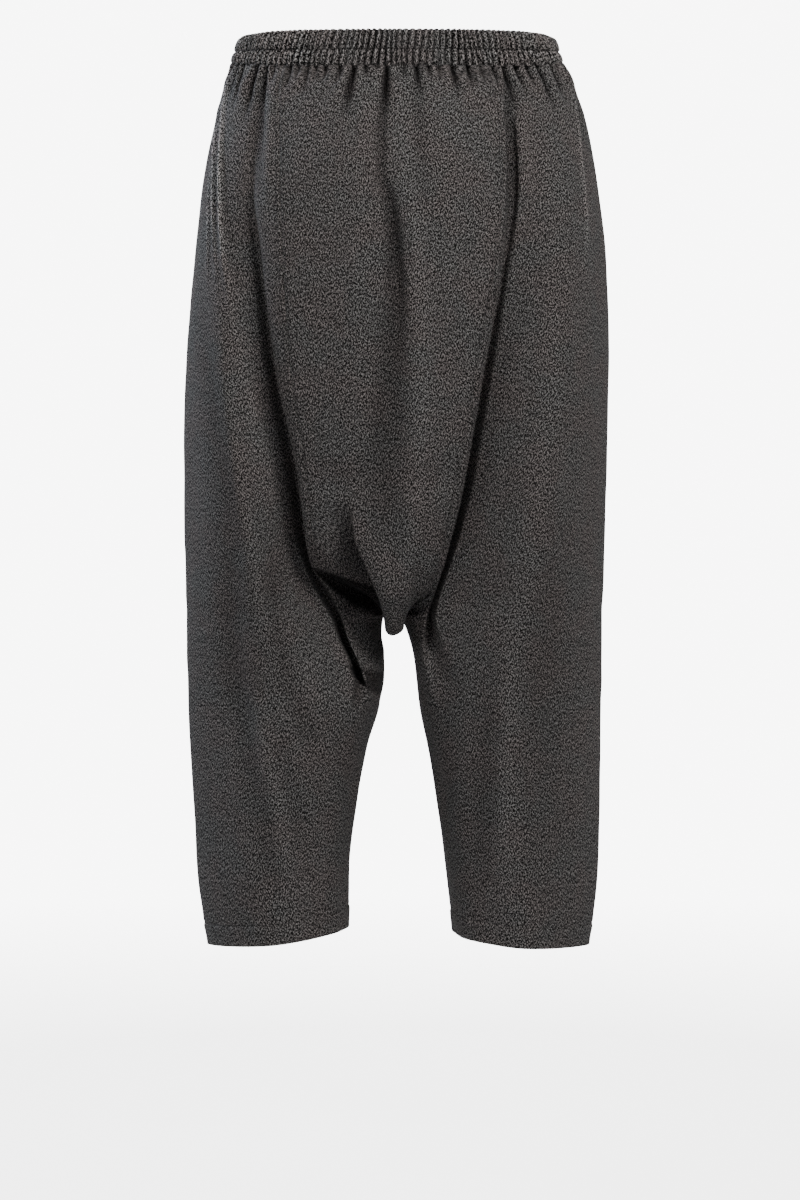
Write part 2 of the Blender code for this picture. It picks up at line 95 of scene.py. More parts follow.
# ---------------- section tables
BACK_COLUMNS = "drop side bulge_x bulge_y valley_x valley_y crest_x crest_y seam_x seam_y"
BACK_ROWS = {
    "left": (
        (40, 165, 154, 52, 130, 80, 122, 89, 111, 98),
        (68, 172, 160, 58, 132, 87, 123, 98, 110, 108),
        (137, 187, 170, 69, 138, 97, 129, 111, 109, 125),
        (220, 196, 168, 88, 130, 96, 122, 118, 105, 131),
        (310, 203, 164, 100, 118, 86, 111, 115, 99, 126),
        (390, 205, 155, 107, 102, 75, 95, 110, 88, 116),
        (435, 205, 148, 110, 95, 65, 89, 104, 83, 109),
        (470, 205, 142, 111, 91, 57, 85, 97, 79, 101),
        (500, 204, 136, 111, 85, 47, 80, 74, 73, 78),
        (515, 204, 133, 111, 80, 43, 70, 56, 58, 48),
        (530, 204, 130, 111, 72, 40, 60, 44, 33, 20),
        (547, 203, 125, 110, 62, 42, 51, 36, 2, 3),
        (554, 203, 123, 110, 59, 43, 49, 35, 12, -3),
        (570, 203, 120, 109, 54, 46, 44, 35, 13.5, -5),
        (590, 203, 116, 107, 45, 53, 35, 38, 10.5, -6),
        (612, 202, 113, 105, 38, 64, 27, 46, 11, -6),
        (635, 202, 111, 103, 38, 76, 22, 46, 15, -6),
        (680, 200, 114, 100, 51, 74, 34, 42, 28, -5),
        (740, 197, 118, 95, 60, 69, 44, 39, 38, -4),
        (805, 194, 119, 90, 65, 65, 50, 37, 44, -3),
        (873, 184, 114, 85, 64, 61, 50, 34, 45, -2),
    ),
    "right": (
        (40, 173, 158, 58, 108, 97, 101, 104, 96, 107),
        (68, 183, 165, 64, 112, 103, 105, 112, 101, 115),
        (137, 196, 168, 86, 115, 108, 108, 124, 103, 128),
        (220, 205, 165, 101, 106, 102, 99, 128, 94, 133),
        (310, 208, 158, 109, 90, 90, 83, 124, 78, 129),
        (390, 207, 148, 112, 76, 78, 70, 114, 65, 119),
        (435, 206, 141, 113, 68, 68, 62, 105, 57, 110),
        (470, 205, 135, 113, 60, 60, 54, 96, 49, 101),
        (500, 204, 130, 113, 52, 51, 47, 84, 42, 89),
        (527, 203, 126, 112, 44, 42, 38, 60, 33, 64),
        (547, 202, 122, 111, 38, 35, 30, 26, 2, 3),
        (556, 202, 121, 111, 37, 38, 28, 25, 8, -3),
        (570, 202, 119, 110, 37, 44, 25, 26, 13, -5),
        (590, 202, 117, 108, 42, 57, 26, 32, 18, -6),
        (612, 202, 116, 106, 48, 66, 29, 35, 21, -6),
        (635, 201, 116, 104, 52, 72, 32, 38, 24, -5),
        (680, 201, 117, 100, 58, 72, 40, 40, 33, -5),
        (740, 200, 121, 95, 65, 68, 49, 38, 42, -4),
        (805, 198, 124, 90, 70, 64, 56, 36, 50, -3),
        (873, 189, 123, 85, 75, 60, 62, 33, 57, -2),
    ),
}
MIDDLE_COLUMNS = ("drop centre_y centre_fold front_bulge_x front_bulge_y "
                  "front_valley_x front_valley_y front_x front_y")
MIDDLE_ROWS = (
    (40, 124, 3.5, 130, -88, 66, -117, 0, -126),
    (68, 134, 4.5, 138, -95, 71, -124, 0, -134),
    (137, 150, 5, 147, -107, 78, -126, 0, -142),
    (220, 152, 5.5, 148, -116, 72, -122, 0, -142),
    (310, 145, 5, 145, -120, 62, -114, 0, -137),
    (390, 134, 4, 138, -120, 52, -103, 0, -128),
    (435, 125, 3, 134, -119, 46, -94, 0, -120),
    (470, 116, 2, 130, -118, 41, -84, 0, -108),
    (500, 108, 1, 127, -117, 38, -75, 0, -92),
    (527, 98, 0, 124, -116, 35, -66, 0, -62),
    (547, 82, 0, 122, -115, 33, -61, 1, -4),
    (570, 60, 0, 120, -113, 34, -63, 13, -5),
    (590, 60, 0, 118, -112, 35, -67, 14, -6),
    (612, 60, 0, 117, -110, 37, -69, 16, -6),
    (635, 60, 0, 116, -108, 41, -71, 20, -5),
    (680, 60, 0, 116, -103, 51, -71, 30, -5),
    (740, 60, 0, 119, -97, 59, -67, 40, -4),
    (805, 60, 0, 121, -91, 64, -61, 47, -3),
    (873, 60, 0, 118, -86, 66, -57, 51, -2),
)
TIP_COLUMNS = "drop tip_x tip_y recess_x recess_y curtain_x curtain_y"
TIP_ROWS = {
    "left": (
        (435, 40, 121, 50, 117, 66, 115),
        (470, 37, 112, 47, 98, 64, 102),
        (500, 26, 103, 40, 78, 60, 82),
        (515, 20, 98, 33, 66, 46, 56),
        (530, 14, 90, 21, 58, 27, 36),
        (547, 9, 76, 10, 52, 7, 24),
    ),
    "right": (
        (435, 20, 124, 33, 121, 46, 117),
        (470, 18, 115, 29, 112, 40, 107),
        (500, 16, 106, 25, 102, 34, 97),
        (527, 14, 94, 20, 86, 27, 76),
        (547, 9, 76, 12, 56, 8, 26),
    ),
}
TIP_BLEND = 45.0
PANEL_SHARES = (0.32, 0.56, 0.80)
PANEL_ROUND = 2.2
CENTRE_X = 3.0

# The tip's underside, from its lowest part in to the crotch:
# y and drop of its middle, half width, y and drop of its edge
UNDER_ROWS = (
    (77, 558, 9, 3.6, 546.4), (64, 566, 8.6, 3.2, 546.9), (44, 567, 7.5, 2.8, 547.4),
    (22, 559, 4, 2.4, 547.9))
UNDER_EDGE = 1.5
UNDER_SHIFT = 1.0
UNDER_ROUND = 1.6
UNDER_STEPS = 6          # mesh rows from one key row to the next
UNDER_FADE_DROP = 530.0  # gathers and folds fade out from here, as the rows turn under the tip
UNDER_FADE = 15.0
UNDER_LEVELS = (544.0, 548.0, 552.0, 556.0)
TIP_KEY_ROWS = (505.0, 516.0, 528.0, 538.0)

# The deep folds in fine: how far the valley tucks in behind the crest and sinks, how far the
# leg's cloth stands up beside it, over what width and reach, and the share of light lost as painted
# shade
FOLD_COLUMNS = "drop tuck sink rise steep reach dark"
FOLD_ROWS = {
    "left": (
        (60, 0, 0, 0, 9, 14, 0), (120, 2, 1, 3, 9, 16, 0), (180, 3, 2, 6, 9, 20, 0),
        (240, 4, 3, 9, 10, 24, 0), (310, 4, 3, 11, 12, 28, 0), (400, 4, 3, 12, 13, 28, 0),
        (470, 4, 4, 14, 10, 28, 0), (500, 4, 5, 18, 6, 28, 0), (515, 4, 6, 21, 5, 28, 0.1),
        (530, 4, 7, 22, 4.5, 26, 0.25), (556, 4, 9, 22, 4.5, 26, 0.45), (585, 4, 10, 21, 4.5, 25, 0.5),
        (605, 3, 10, 17, 4.5, 24, 0.5), (622, 2, 6, 9, 5, 22, 0.35), (640, 0, 0, 0, 6, 20, 0)),
    "right": (
        (50, 0, 0, 0, 6, 14, 0), (90, 3, 2, 4, 6, 16, 0), (137, 4, 3, 6, 7, 20, 0),
        (220, 4, 3, 9, 8, 26, 0), (310, 5, 5, 15, 10, 30, 0.1), (400, 5, 6, 20, 11, 32, 0.15),
        (470, 5, 6, 25, 8, 32, 0.2), (500, 5, 5, 28, 6, 32, 0.15), (527, 5, 4, 30, 5, 32, 0.15),
        (547, 4, 3, 28, 5, 32, 0.2), (560, 2, 1, 21, 6, 32, 0.2), (575, 0, 0, 14, 9, 32, 0.1),
        (595, 0, 0, 8, 15, 32, 0), (615, 0, 0, 4, 20, 34, 0), (640, 0, 0, 0, 24, 36, 0)),
}
FOLD_RETURN = 0.45       # share of the way from valley to bulge that the tuck pulls along
FOLD_ENDS = (0.9, 0.8)   # its lift ends this far short of the side, over this much
FOLD_DARK_REACH = 0.12
TIP_FOLD_COLUMNS = "drop tuck sink dark"
TIP_FOLD_ROWS = {
    "left": (
        (440, 0, 0, 0), (455, 4, 4, 0.25), (475, 9, 10, 0.5), (500, 13, 16, 0.6), (515, 11, 17, 0.6),
        (530, 6, 13, 0.6), (543, 0, 4, 0.4), (546, 0, 0, 0)),
    "right": (
        (470, 0, 0, 0), (500, 1, 2, 0), (530, 2, 3, 0), (543, 0, 2, 0), (546, 0, 0, 0)),
}
# Places where the tip's fold grows and fades, and where its painted shade does: start, width
TIP_FOLD_PLACES = ((1.0, 0.6), (1.9, 1.0))
TIP_DARK_PLACES = ((1.0, 0.35), (1.5, 1.2))
# The strip of cloth between the inner seam and the deep fold stands out by this much
STRIP_COLUMNS = "drop lift"
STRIP_PLACES = ((SEAM, 0.45), (CREST, 0.9))
STRIP_ROWS = {
    "left": (
        (538, 0), (550, 14), (566, 22), (595, 22), (615, 14), (640, 0)),
    "right": (
        (526, 0), (540, 12), (554, 24), (572, 25), (590, 20), (612, 13), (640, 8), (680, 4), (730, 0)),
}
# Pockets of shadow in the cloth by the crotch: x, upper edge and lower edge of each, then
# how far the cloth sinks there and the share of light that it loses, as painted shade
POCKETS = (
    (((86, 497, 498), (60, 505, 524), (40, 512, 541), (21, 519, 550), (10, 523, 554)), 8, 0.72),
    (((44, 594, 599), (38, 596, 610), (28, 599, 620), (17, 602, 628), (8, 604, 632)), 6, 0.6))
POCKET_SOFT = 4.0
TIP_EDGE_SOFT = 2.0      # pockets fade over this much beside the tip's edge,
POCKET_BACK = 8.0        # and over this depth, so that the front has none
TIP_EDGE_ROWS = (
    (500, 25), (515, 21), (530, 15.5), (547, 10.5), (600, 0))

# Mesh rows: from drop, to drop, step
ROW_STEPS = (
    (15.6, 40, 1.3), (40, 120, 2.4), (120, 490, 4), (490, 516, 2), (516, 640, 2), (640, 846, 4.4),
    (846, 873, 1.5))
# Mesh columns between one station and the next, from centre back to centre front
COLUMN_COUNTS = (36, 26, 26, 24, 10, 20, 64, 44, 40, 32, 28)
COARSE_COUNTS = (2, 1, 1, 1)     # columns of the solid's back panel, which its tip follows
GHOST_ROW = 0.5          # rows and columns this far outside the edges give the slopes there
GHOST_PLACE = 0.02


def smooth_step(value):
    value = np.clip(value, 0.0, 1.0)
    return value * value * (3.0 - 2.0 * value)


def bell(value):
    return np.exp(-value * value)


def slopes(drops, values):
    """Slopes of a smooth curve through a table's column that never overshoots."""
    steps = np.diff(drops)
    grades = np.diff(values) / steps
    result = np.zeros(len(values))
    for i in range(1, len(values) - 1):
        if grades[i - 1] * grades[i] > 0.0:
            before = 2.0 * steps[i] + steps[i - 1]
            after = steps[i] + 2.0 * steps[i - 1]
            result[i] = (before + after) / (before / grades[i - 1] + after / grades[i])
    result[0] = grades[0]
    result[-1] = grades[-1]
    return result


def hermite(t, step, start, end, leave, arrive):
    """A smooth stretch between two values with given slopes."""
    return ((1 + 2 * t) * (1 - t) ** 2 * start + t * (1 - t) ** 2 * step * leave
            + t * t * (3 - 2 * t) * end + t * t * (t - 1) * step * arrive)


class Table:
    """Named columns read at any drop by a smooth curve through the rows."""

    def __init__(self, columns, rows):
        data = np.array(rows, dtype=float)
        self.drops = data[:, 0]
        self.columns = {name: (column, slopes(self.drops, column))
                        for name, column in zip(columns.split()[1:], data.T[1:])}

    def read(self, name, drop):
        values, grades = self.columns[name]
        drop = np.asarray(drop, dtype=float)
        i = np.clip(np.searchsorted(self.drops, drop) - 1, 0, len(self.drops) - 2)
        step = self.drops[i + 1] - self.drops[i]
        t = np.clip((drop - self.drops[i]) / step, 0.0, 1.0)
        return hermite(t, step, values[i], values[i + 1], grades[i], grades[i + 1])

    def point(self, name, drop, sign):
        return sign * self.read(name + "_x", drop), self.read(name + "_y", drop)

    def holds(self, drop):
        return self.drops[0] < drop < self.drops[-1]

    def spans(self, drops):
        return (drops >= self.drops[0]) & (drops <= self.drops[-1])


def rise_and_fall(places, spans):
    """A share that grows over the first span of places and fades over the second."""
    (start, width), (end, fade) = spans
    return smooth_step((places - start) / width) * (1.0 - smooth_step((places - end) / fade))


def pair_of_tables(columns, rows):
    return {side: Table(columns, rows[side]) for side in SIGN}


BACK = pair_of_tables(BACK_COLUMNS, BACK_ROWS)
TIP = pair_of_tables(TIP_COLUMNS, TIP_ROWS)
FOLD = pair_of_tables(FOLD_COLUMNS, FOLD_ROWS)
TIP_FOLD = pair_of_tables(TIP_FOLD_COLUMNS, TIP_FOLD_ROWS)
STRIP = pair_of_tables(STRIP_COLUMNS, STRIP_ROWS)
MIDDLE = Table(MIDDLE_COLUMNS, MIDDLE_ROWS)
FIRST_DROP = MIDDLE_ROWS[0][0]
FIRST_TIP = TIP_ROWS["left"][0][0]


# ---------------- plain sections
def ring_y(side, x, depth):
    share = min(abs(x) / WAIST_HALF[side], 1.0)
    return depth * (1.0 - share ** WAIST_ROUND) ** (1.0 / WAIST_ROUND)


def waist_stations(side):
    """The stations on the waist's ring, spread as in the first row of the tables."""
    sign = SIGN[side]
    narrower = WAIST_HALF[side] / BACK[side].read("side", FIRST_DROP)
    seam = BACK[side].read("seam_x", FIRST_DROP) * narrower
    inner = CENTRE_X * sign
    across = [inner + (seam - inner) * share for share in PANEL_SHARES]
    across += [BACK[side].read(name + "_x", FIRST_DROP) * narrower for name in BACK_NAMES]
    points = [(CENTRE_X, WAIST_BACK)] + [(sign * x, ring_y(side, x, WAIST_BACK)) for x in across]
    points.append((sign * WAIST_HALF[side], 0.0))
    for name in FRONT_NAMES:
        x = MIDDLE.read(name + "_x", FIRST_DROP) * narrower
        points.append((sign * x, ring_y(side, x, -WAIST_FRONT)))
    return np.array(points + [(0.0, -WAIST_FRONT)], dtype=float)


def table_stations(side, drop):
    sign = SIGN[side]
    back = BACK[side]
    centre_y = MIDDLE.read("centre_y", drop)
    seam_x, seam_y = back.point("seam", drop, 1.0)
    points = [(CENTRE_X, centre_y - MIDDLE.read("centre_fold", drop))]
    blend = smooth_step((drop - FIRST_TIP + TIP_BLEND) / TIP_BLEND)
    inner = CENTRE_X * sign
    for share, name in zip(PANEL_SHARES, TIP_NAMES):
        x = inner + (seam_x - inner) * share
        y = centre_y + (seam_y - centre_y) * share ** PANEL_ROUND
        tip_x, tip_y = TIP[side].point(name, drop, 1.0)
        points.append((sign * (x + blend * (tip_x - x)), y + blend * (tip_y - y)))
    points += [back.point(name, drop, sign) for name in BACK_NAMES]
    points.append((sign * back.read("side", drop), 0.0))
    points += [MIDDLE.point(name, drop, sign) for name in FRONT_NAMES]
    points.append(points[SEAM] if drop > CROTCH_DROP else MIDDLE.point("front", drop, sign))
    return np.array(points, dtype=float)


def stations(side, drop):
    if drop >= FIRST_DROP:
        return table_stations(side, drop)
    share = max((drop - SEAM_DROP_SIDE) / (FIRST_DROP - SEAM_DROP_SIDE), 0.0)
    eased = smooth_step(share * 0.5 + 0.5) * 2.0 - 1.0
    ring = waist_stations(side)
    return ring + (table_stations(side, FIRST_DROP) - ring) * (share + eased) * 0.5


def section_row(side, places, drop):
    """x and y at every place along one section, as a rounded curve free of loops."""
    own = stations(side, drop)
    if drop > CROTCH_DROP:
        places = np.where(places < SEAM, places + LAST - SEAM, places)
        places = np.where(places > LAST, places - LAST + SEAM, places)
        ring, shift = np.vstack((own[LAST - 1], own[SEAM:], own[SEAM + 1:SEAM + 3])), 1 - SEAM
    else:
        other = stations(OTHER[side], drop)
        ring, shift = np.vstack((other[2], other[1], own, other[LAST - 1:LAST - 3:-1])), 2
    i = np.clip(np.floor(places).astype(int) + shift, 1, len(ring) - 3)
    t = (places + shift - i)[:, None]
    before, start, end, after = (ring[i + k] for k in (-1, 0, 1, 2))
    gap_a, gap_b, gap_c = (np.sqrt(np.maximum(np.linalg.norm(b - a, axis=1), 1e-6))[:, None]
                           for a, b in ((before, start), (start, end), (end, after)))
    leave = (start - before) / gap_a - (end - before) / (gap_a + gap_b) + (end - start) / gap_b
    arrive = (end - start) / gap_b - (after - start) / (gap_b + gap_c) + (after - end) / gap_c
    return hermite(t, gap_b, start, end, leave, arrive)


def seam_dip(y):
    back = (SEAM_DROP_BACK - SEAM_DROP_SIDE) * smooth_step(y / WAIST_BACK)
    front = (SEAM_DROP_FRONT - SEAM_DROP_SIDE) * smooth_step(-y / WAIST_FRONT)
    return np.where(y > 0.0, back, front)


# ---------------- deep folds by the centre panel
def fold_shape(side, places, drop, x, y):
    """The valley slips behind its crest, and the leg's cloth stands up beside it."""
    table = FOLD[side]
    if not table.holds(drop):
        return x, y
    tuck = table.read("tuck", drop)
    slip = smooth_step(places - CREST) * (places <= VALLEY)
    slip = slip + (1.0 - smooth_step((places - VALLEY) / FOLD_RETURN)) * (places > VALLEY)
    x = x - SIGN[side] * tuck * slip
    y = y - table.read("sink", drop) * slip
    beyond = np.maximum(np.abs(x) - BACK[side].read("valley_x", drop) + tuck, 0.0)
    beyond = beyond * (places > VALLEY)
    lift = smooth_step(beyond / table.read("steep", drop))
    lift = lift * np.exp(-beyond / table.read("reach", drop))
    short_of_side = 1.0 - smooth_step((places - SIDE + FOLD_ENDS[0]) / FOLD_ENDS[1])
    return x, y + table.read("rise", drop) * lift * short_of_side


def tip_fold(side, places, drop, x, y):
    """The crease beside the hanging tip, slipped in under the tip's edge."""
    table = TIP_FOLD[side]
    if not table.holds(drop):
        return x, y
    weight = rise_and_fall(places, TIP_FOLD_PLACES)
    return x - SIGN[side] * table.read("tuck", drop) * weight, y - table.read("sink", drop) * weight


def strip_lift(side, places, drop, y):
    """The strip beside the inner seam comes forward, level with the hanging tip."""
    if not STRIP[side].holds(drop):
        return y
    share = rise_and_fall(places, STRIP_PLACES)
    return y + STRIP[side].read("lift", drop) * share


def crease_painted_shade(side, places, drop):
    """Painted shade in the deep folds, along one row: the share of its light that the cloth loses."""
    dark = np.zeros_like(places)
    if FOLD[side].holds(drop):
        near = smooth_step(places - CREST) * (places <= VALLEY)
        near = near + (1.0 - smooth_step((places - VALLEY) / FOLD_DARK_REACH)) * (places > VALLEY)
        dark = dark + FOLD[side].read("dark", drop) * near
    if TIP_FOLD[side].holds(drop):
        near = rise_and_fall(places, TIP_DARK_PLACES)
        dark = dark + TIP_FOLD[side].read("dark", drop) * near
    return dark


def pocket_fields(points):
    """How far the cloth sinks into its pockets of shadow, and the painted shade there."""
    x, y, drop = points[:, :, 0], points[:, :, 1], -points[:, :, 2]
    sink = np.zeros_like(x)
    dark = np.zeros_like(x)
    edges = np.array(TIP_EDGE_ROWS, dtype=float)
    past_tip = smooth_step((x - np.interp(drop, edges[:, 0], edges[:, 1])) / TIP_EDGE_SOFT)
    past_tip = past_tip * smooth_step(y / POCKET_BACK)
    for rows, depth, loss in POCKETS:
        at, upper, lower = np.array(rows[::-1], dtype=float).T
        inside = smooth_step((drop - np.interp(x, at, upper)) / POCKET_SOFT)
        inside = inside * smooth_step((np.interp(x, at, lower) - drop) / POCKET_SOFT)
        inside = inside * (x > at[0]) * (x < at[-1]) * past_tip
        sink += depth * inside
        dark += loss * inside
    return sink, dark


def surface_row(side, places, drop):
    """Points of the plain surface along one row."""
    flat = section_row(side, places, drop)
    x, y = fold_shape(side, places, drop, flat[:, 0], flat[:, 1])
    x, y = tip_fold(side, places, drop, x, y)
    y = strip_lift(side, places, drop, y)
    top_share = 1.0 - smooth_step((drop - SEAM_DROP_SIDE) / GATHER_FADE)
    z = -drop - top_share * seam_dip(y)
    hem_share = smooth_step((drop - HEM_SWING_DROP) / (HEM_DROP - HEM_SWING_DROP))
    if hem_share > 0.0:
        inner = BACK[side].read("seam_x", HEM_DROP)
        outer = BACK[side].read("side", HEM_DROP)
        z = z + hem_share * HEM_RISE[side] * (outer - np.abs(x)) / (outer - inner)
    return np.stack((x, y, z), axis=1)


def all_rows():
    """Every drop at which the mesh has a row."""
    rows = []
    for start, end, step in ROW_STEPS:
        count = max(int(round((end - start) / step)), 1)
        rows += [start + (end - start) * k / count for k in range(count)]
    return rows + [HEM_DROP]


def column_places(first, last):
    """Places of the fine columns from one station to another."""
    inner = [i + k / COLUMN_COUNTS[i] for i in range(first, last) for k in range(COLUMN_COUNTS[i])]
    return np.array(inner + [float(last)])


# ---------------- girth at the waist
GIRTH_DROP = 25.0
GHOST_GIRTH = 12.0       # girth for each station past either end
GIRTH_SAMPLES = 600
GATHER_SAMPLES = 800


def girth_table(side):
    """Length round the waist from the centre back to each place of one half."""
    places = np.linspace(0.0, LAST, GIRTH_SAMPLES)
    steps = np.linalg.norm(np.diff(section_row(side, places, GIRTH_DROP), axis=0), axis=1)
    return places, np.concatenate(([0.0], np.cumsum(steps)))


GIRTH = {side: girth_table(side) for side in SIGN}


def girth(side, places):
    """Signed girth: positive to the garment's left of the centre back."""
    inside = np.interp(places, *GIRTH[side])
    outside = np.minimum(places, 0.0) + np.maximum(places - LAST, 0.0)
    return SIGN[side] * (inside + outside * GHOST_GIRTH)


# ---------------- gathers and folds
# Gathers under the waist seam that show best: x at the seam, depth, length, width, lean
MAIN_GATHERS = (
    (158, 2.2, 120, 4, 0), (147, 1.6, 60, 3.6, 0.02), (134, 2.6, 70, 4.6, 0.04),
    (124, 2, 50, 3.8, 0.02), (117, 1, 30, 3, 0), (101, 1.5, 28, 3.4, 0.02), (93, 0.9, 20, 3, 0),
    (84, 1.5, 34, 3.6, 0.03), (76, 1.1, 24, 3.2, 0), (67, 1.4, 22, 3.4, 0.02),
    (53, 1.6, 24, 3.4, 0.05), (39, 3, 62, 4.4, 0.14), (28, 1.2, 18, 3, 0), (8, 2.2, 60, 3.6, 0.02),
    (-9, 1, 20, 3.2, 0), (-21, 2.2, 36, 4, -0.04), (-33, 1.1, 24, 3.2, 0), (-43, 1, 26, 3, -0.02),
    (-56, 2.2, 38, 4, -0.05), (-71, 2, 32, 3.6, -0.06), (-84, 1.2, 30, 3.4, -0.04),
    (-96, 1.5, 40, 3.6, -0.03), (-106, 2.4, 64, 4.4, -0.06), (-118, 1.6, 46, 3.8, -0.05),
    (-129, 1.4, 36, 3.6, -0.05), (-140, 2, 60, 4.2, -0.06), (-152, 1.4, 48, 3.6, -0.04),
    (-163, 2.2, 90, 4.2, -0.02))
GATHER_LEAST = 1.4       # least depth of a gather, and what it adds for each unit of its own
GATHER_SCALE = 2.3
GATHER_NARROW = 0.62     # share of its width that a gather has at the seam
GATHER_FLARE = 1.5       # and what it gains down its length
GATHER_START = 0.65      # share of its depth that a gather has at the seam,
GATHER_RISE = 2.5        # and how soon it gains the rest
GATHER_CORE = 0.42       # width of the sharp core of its cleft
GATHER_PAINTED_SHADE = 0.19       # painted shade: light taken from the colour for each millimetre down in a gather
FOLD_PAINTED_SHADE = 0.06         # and in a long fold
RIDGE_PAINTED_LIGHT = 0.06       # painted highlight: light added to the colour for each millimetre up on a ridge
PAINTED_LIGHT_LEAST = 0.25
PAINTED_LIGHT_MOST = 1.5
FOLD_LEAST = 0.5
PAINTED_SHADE_MOST = 0.8
SIDE_GATHER_START = 176.0        # girth where the listed gathers end
SIDE_GATHER_PITCH = 11.5         # mean spacing of those round the sides and front
SIDE_GATHER_STRAY = 0.32         # and how unevenly they are spaced
# Their depth, length and width, each as mean and unevenness
SIDE_GATHER_SIZES = ((1.7, 0.9), (44.0, 28.0), (3.7, 0.5))
SIDE_GATHER_SHORTEST = 16.0

# Long folds of the back, as drop, x, depth, width inward and width outward. A fold is below
# zero, a ridge above.
LONG_FOLD_COLUMNS = "drop x depth inward outward"
LONG_FOLDS = {
    "centre fold": (
        (17, 7, -1.4, 2.5, 2.5), (45, 9, -3, 3, 3.5), (85, 12, -3.2, 3.5, 4.5), (126, 12, -3, 4, 5),
        (150, 5, -4.2, 5, 6), (195, -1, -5.4, 5, 8), (235, -3, -4.4, 6, 11), (330, 5, -3.6, 13, 16),
        (430, 10, -2.8, 17, 19), (500, 10, 0, 17, 17)),
    "centre fold's lit side": (
        (30, -8, 0, 6, 6), (90, -5, 1, 7, 7), (200, -20, 1.6, 9, 9), (330, -24, 1.6, 14, 14),
        (430, -20, 1, 14, 14), (500, -16, 0, 14, 14)),
    "left ridge A": (
        (20, 156, 0.8, 1.6, 1.4), (50, 162, 1.8, 1.6, 1.4), (78, 164, 2.2, 1.6, 1.4),
        (139, 165, 2.4, 1.8, 1.6), (165, 165, 2.2, 2, 2), (204, 163, 1.8, 3, 3), (243, 156, 1.6, 4, 5),
        (276, 150, 1.6, 5, 7), (329, 139, 1.8, 7, 9), (373, 129, 1.8, 8, 10), (430, 119, 1.2, 8, 10),
        (484, 112, 0, 8, 10)),
    "left ridge B": (
        (55, 168, 0, 1.5, 1.3), (78, 170.5, 1.7, 1.5, 1.3), (105, 171.5, 2, 1.5, 1.3),
        (148, 172, 2, 1.5, 1.3), (190, 172, 1.4, 1.8, 1.6), (240, 168, 0, 3, 3)),
    "left ridge C": (
        (110, 177, 0, 1.4, 1.2), (160, 177, 1.5, 1.4, 1.2), (195, 178, 1.4, 1.4, 1.2),
        (240, 179, 0, 2, 2)),
    "left hip valley": (
        (20, 124, -1, 3, 4), (45, 127, -3.4, 3, 5), (90, 129, -2.8, 4, 6), (126, 130, -1.4, 5, 7),
        (150, 130, 0, 6, 8)),
    "left hip ridge": (
        (30, 116, 0, 4, 4), (70, 118, 1.2, 4, 4), (110, 119, 1.2, 5, 5), (170, 122, 0, 6, 6)),
    "left long valley": (
        (240, 186, 0, 9, 10), (291, 181, -1.6, 9, 10), (400, 166, -2, 11, 12),
        (483, 156, -1.8, 12, 13), (557, 156, -1.8, 12, 13), (680, 141, -1.8, 11, 12),
        (795, 118, -1.2, 11, 12), (840, 112, 0, 11, 12)),
    "left leg crease": (
        (490, 113, 0, 9, 12), (507, 112, -1.4, 9, 12), (550, 109, -2.2, 10, 14),
        (600, 102, -2.4, 10, 14), (650, 86, -2, 10, 12), (690, 74, 0, 9, 10)),
    "left knee crease": (
        (640, 116, 0, 8, 10), (690, 104, -1.4, 9, 11), (740, 92, -1.6, 10, 12), (790, 84, 0, 10, 12)),
    "left shin ridge": (
        (600, 134, 0, 8, 8), (680, 122, 1.2, 8, 8), (760, 106, 1.2, 8, 8), (830, 98, 0, 8, 8)),
    "right ridge D": (
        (18, -157, 0.4, 1.6, 1.4), (40, -168, 0.9, 1.6, 1.4), (71, -174, 1.1, 1.6, 1.4),
        (105, -177, 1.1, 1.8, 1.6), (180, -183, 0.9, 2.5, 2.5), (232, -183, 0.4, 4, 4),
        (280, -183, 0, 5, 5)),
    "right hip ridge": (
        (60, -114, 0, 4, 5), (94, -122, 1.4, 5, 6), (138, -120, 1.6, 5, 7), (195, -114, 1.6, 6, 8),
        (254, -105, 1.2, 7, 9), (300, -97, 0, 8, 10)),
    "right hip valley": (
        (22, -104, -1, 3, 3), (60, -108, -3, 3, 4), (92, -110, -3.2, 3, 5), (138, -111, -2.4, 4, 6),
        (190, -108, -0.6, 6, 8), (230, -104, 0, 6, 8)),
    "right upper fold": (
        (30, -19, -0.6, 4, 4), (60, -20, -1.8, 5, 6), (110, -24, -1.6, 6, 7), (170, -28, 0, 8, 8)),
    "right leg drape": (
        (420, -150, 0, 22, 24), (520, -146, -1.2, 22, 26), (640, -140, -1.6, 24, 26),
        (760, -142, -1.2, 22, 24), (840, -140, 0, 20, 22)),
    "right shin valley": (
        (560, -84, 0, 11, 13), (620, -85, -1.3, 11, 13), (700, -82, -1.7, 12, 14),
        (780, -78, -1.4, 12, 14), (850, -76, 0, 12, 14)),
    "right shin ridge": (
        (560, -110, 0, 9, 9), (640, -108, 1.1, 10, 10), (740, -104, 1.2, 10, 10),
        (840, -100, 0, 10, 10)),
}
LONG_FOLD_SCALE = 1.7
HIGHLIGHTED_RIDGES = ("left ridge A", "left ridge B", "left ridge C", "right ridge D")
HIGHLIGHT_UNTIL = 225.0       # the sharp upper parts of these ridges get a painted highlight down to this drop
HIGHLIGHT_FADE = 70.0
HIGHLIGHT_GAIN = 0.6         # painted highlight on their edges, for each millimetre of their depth
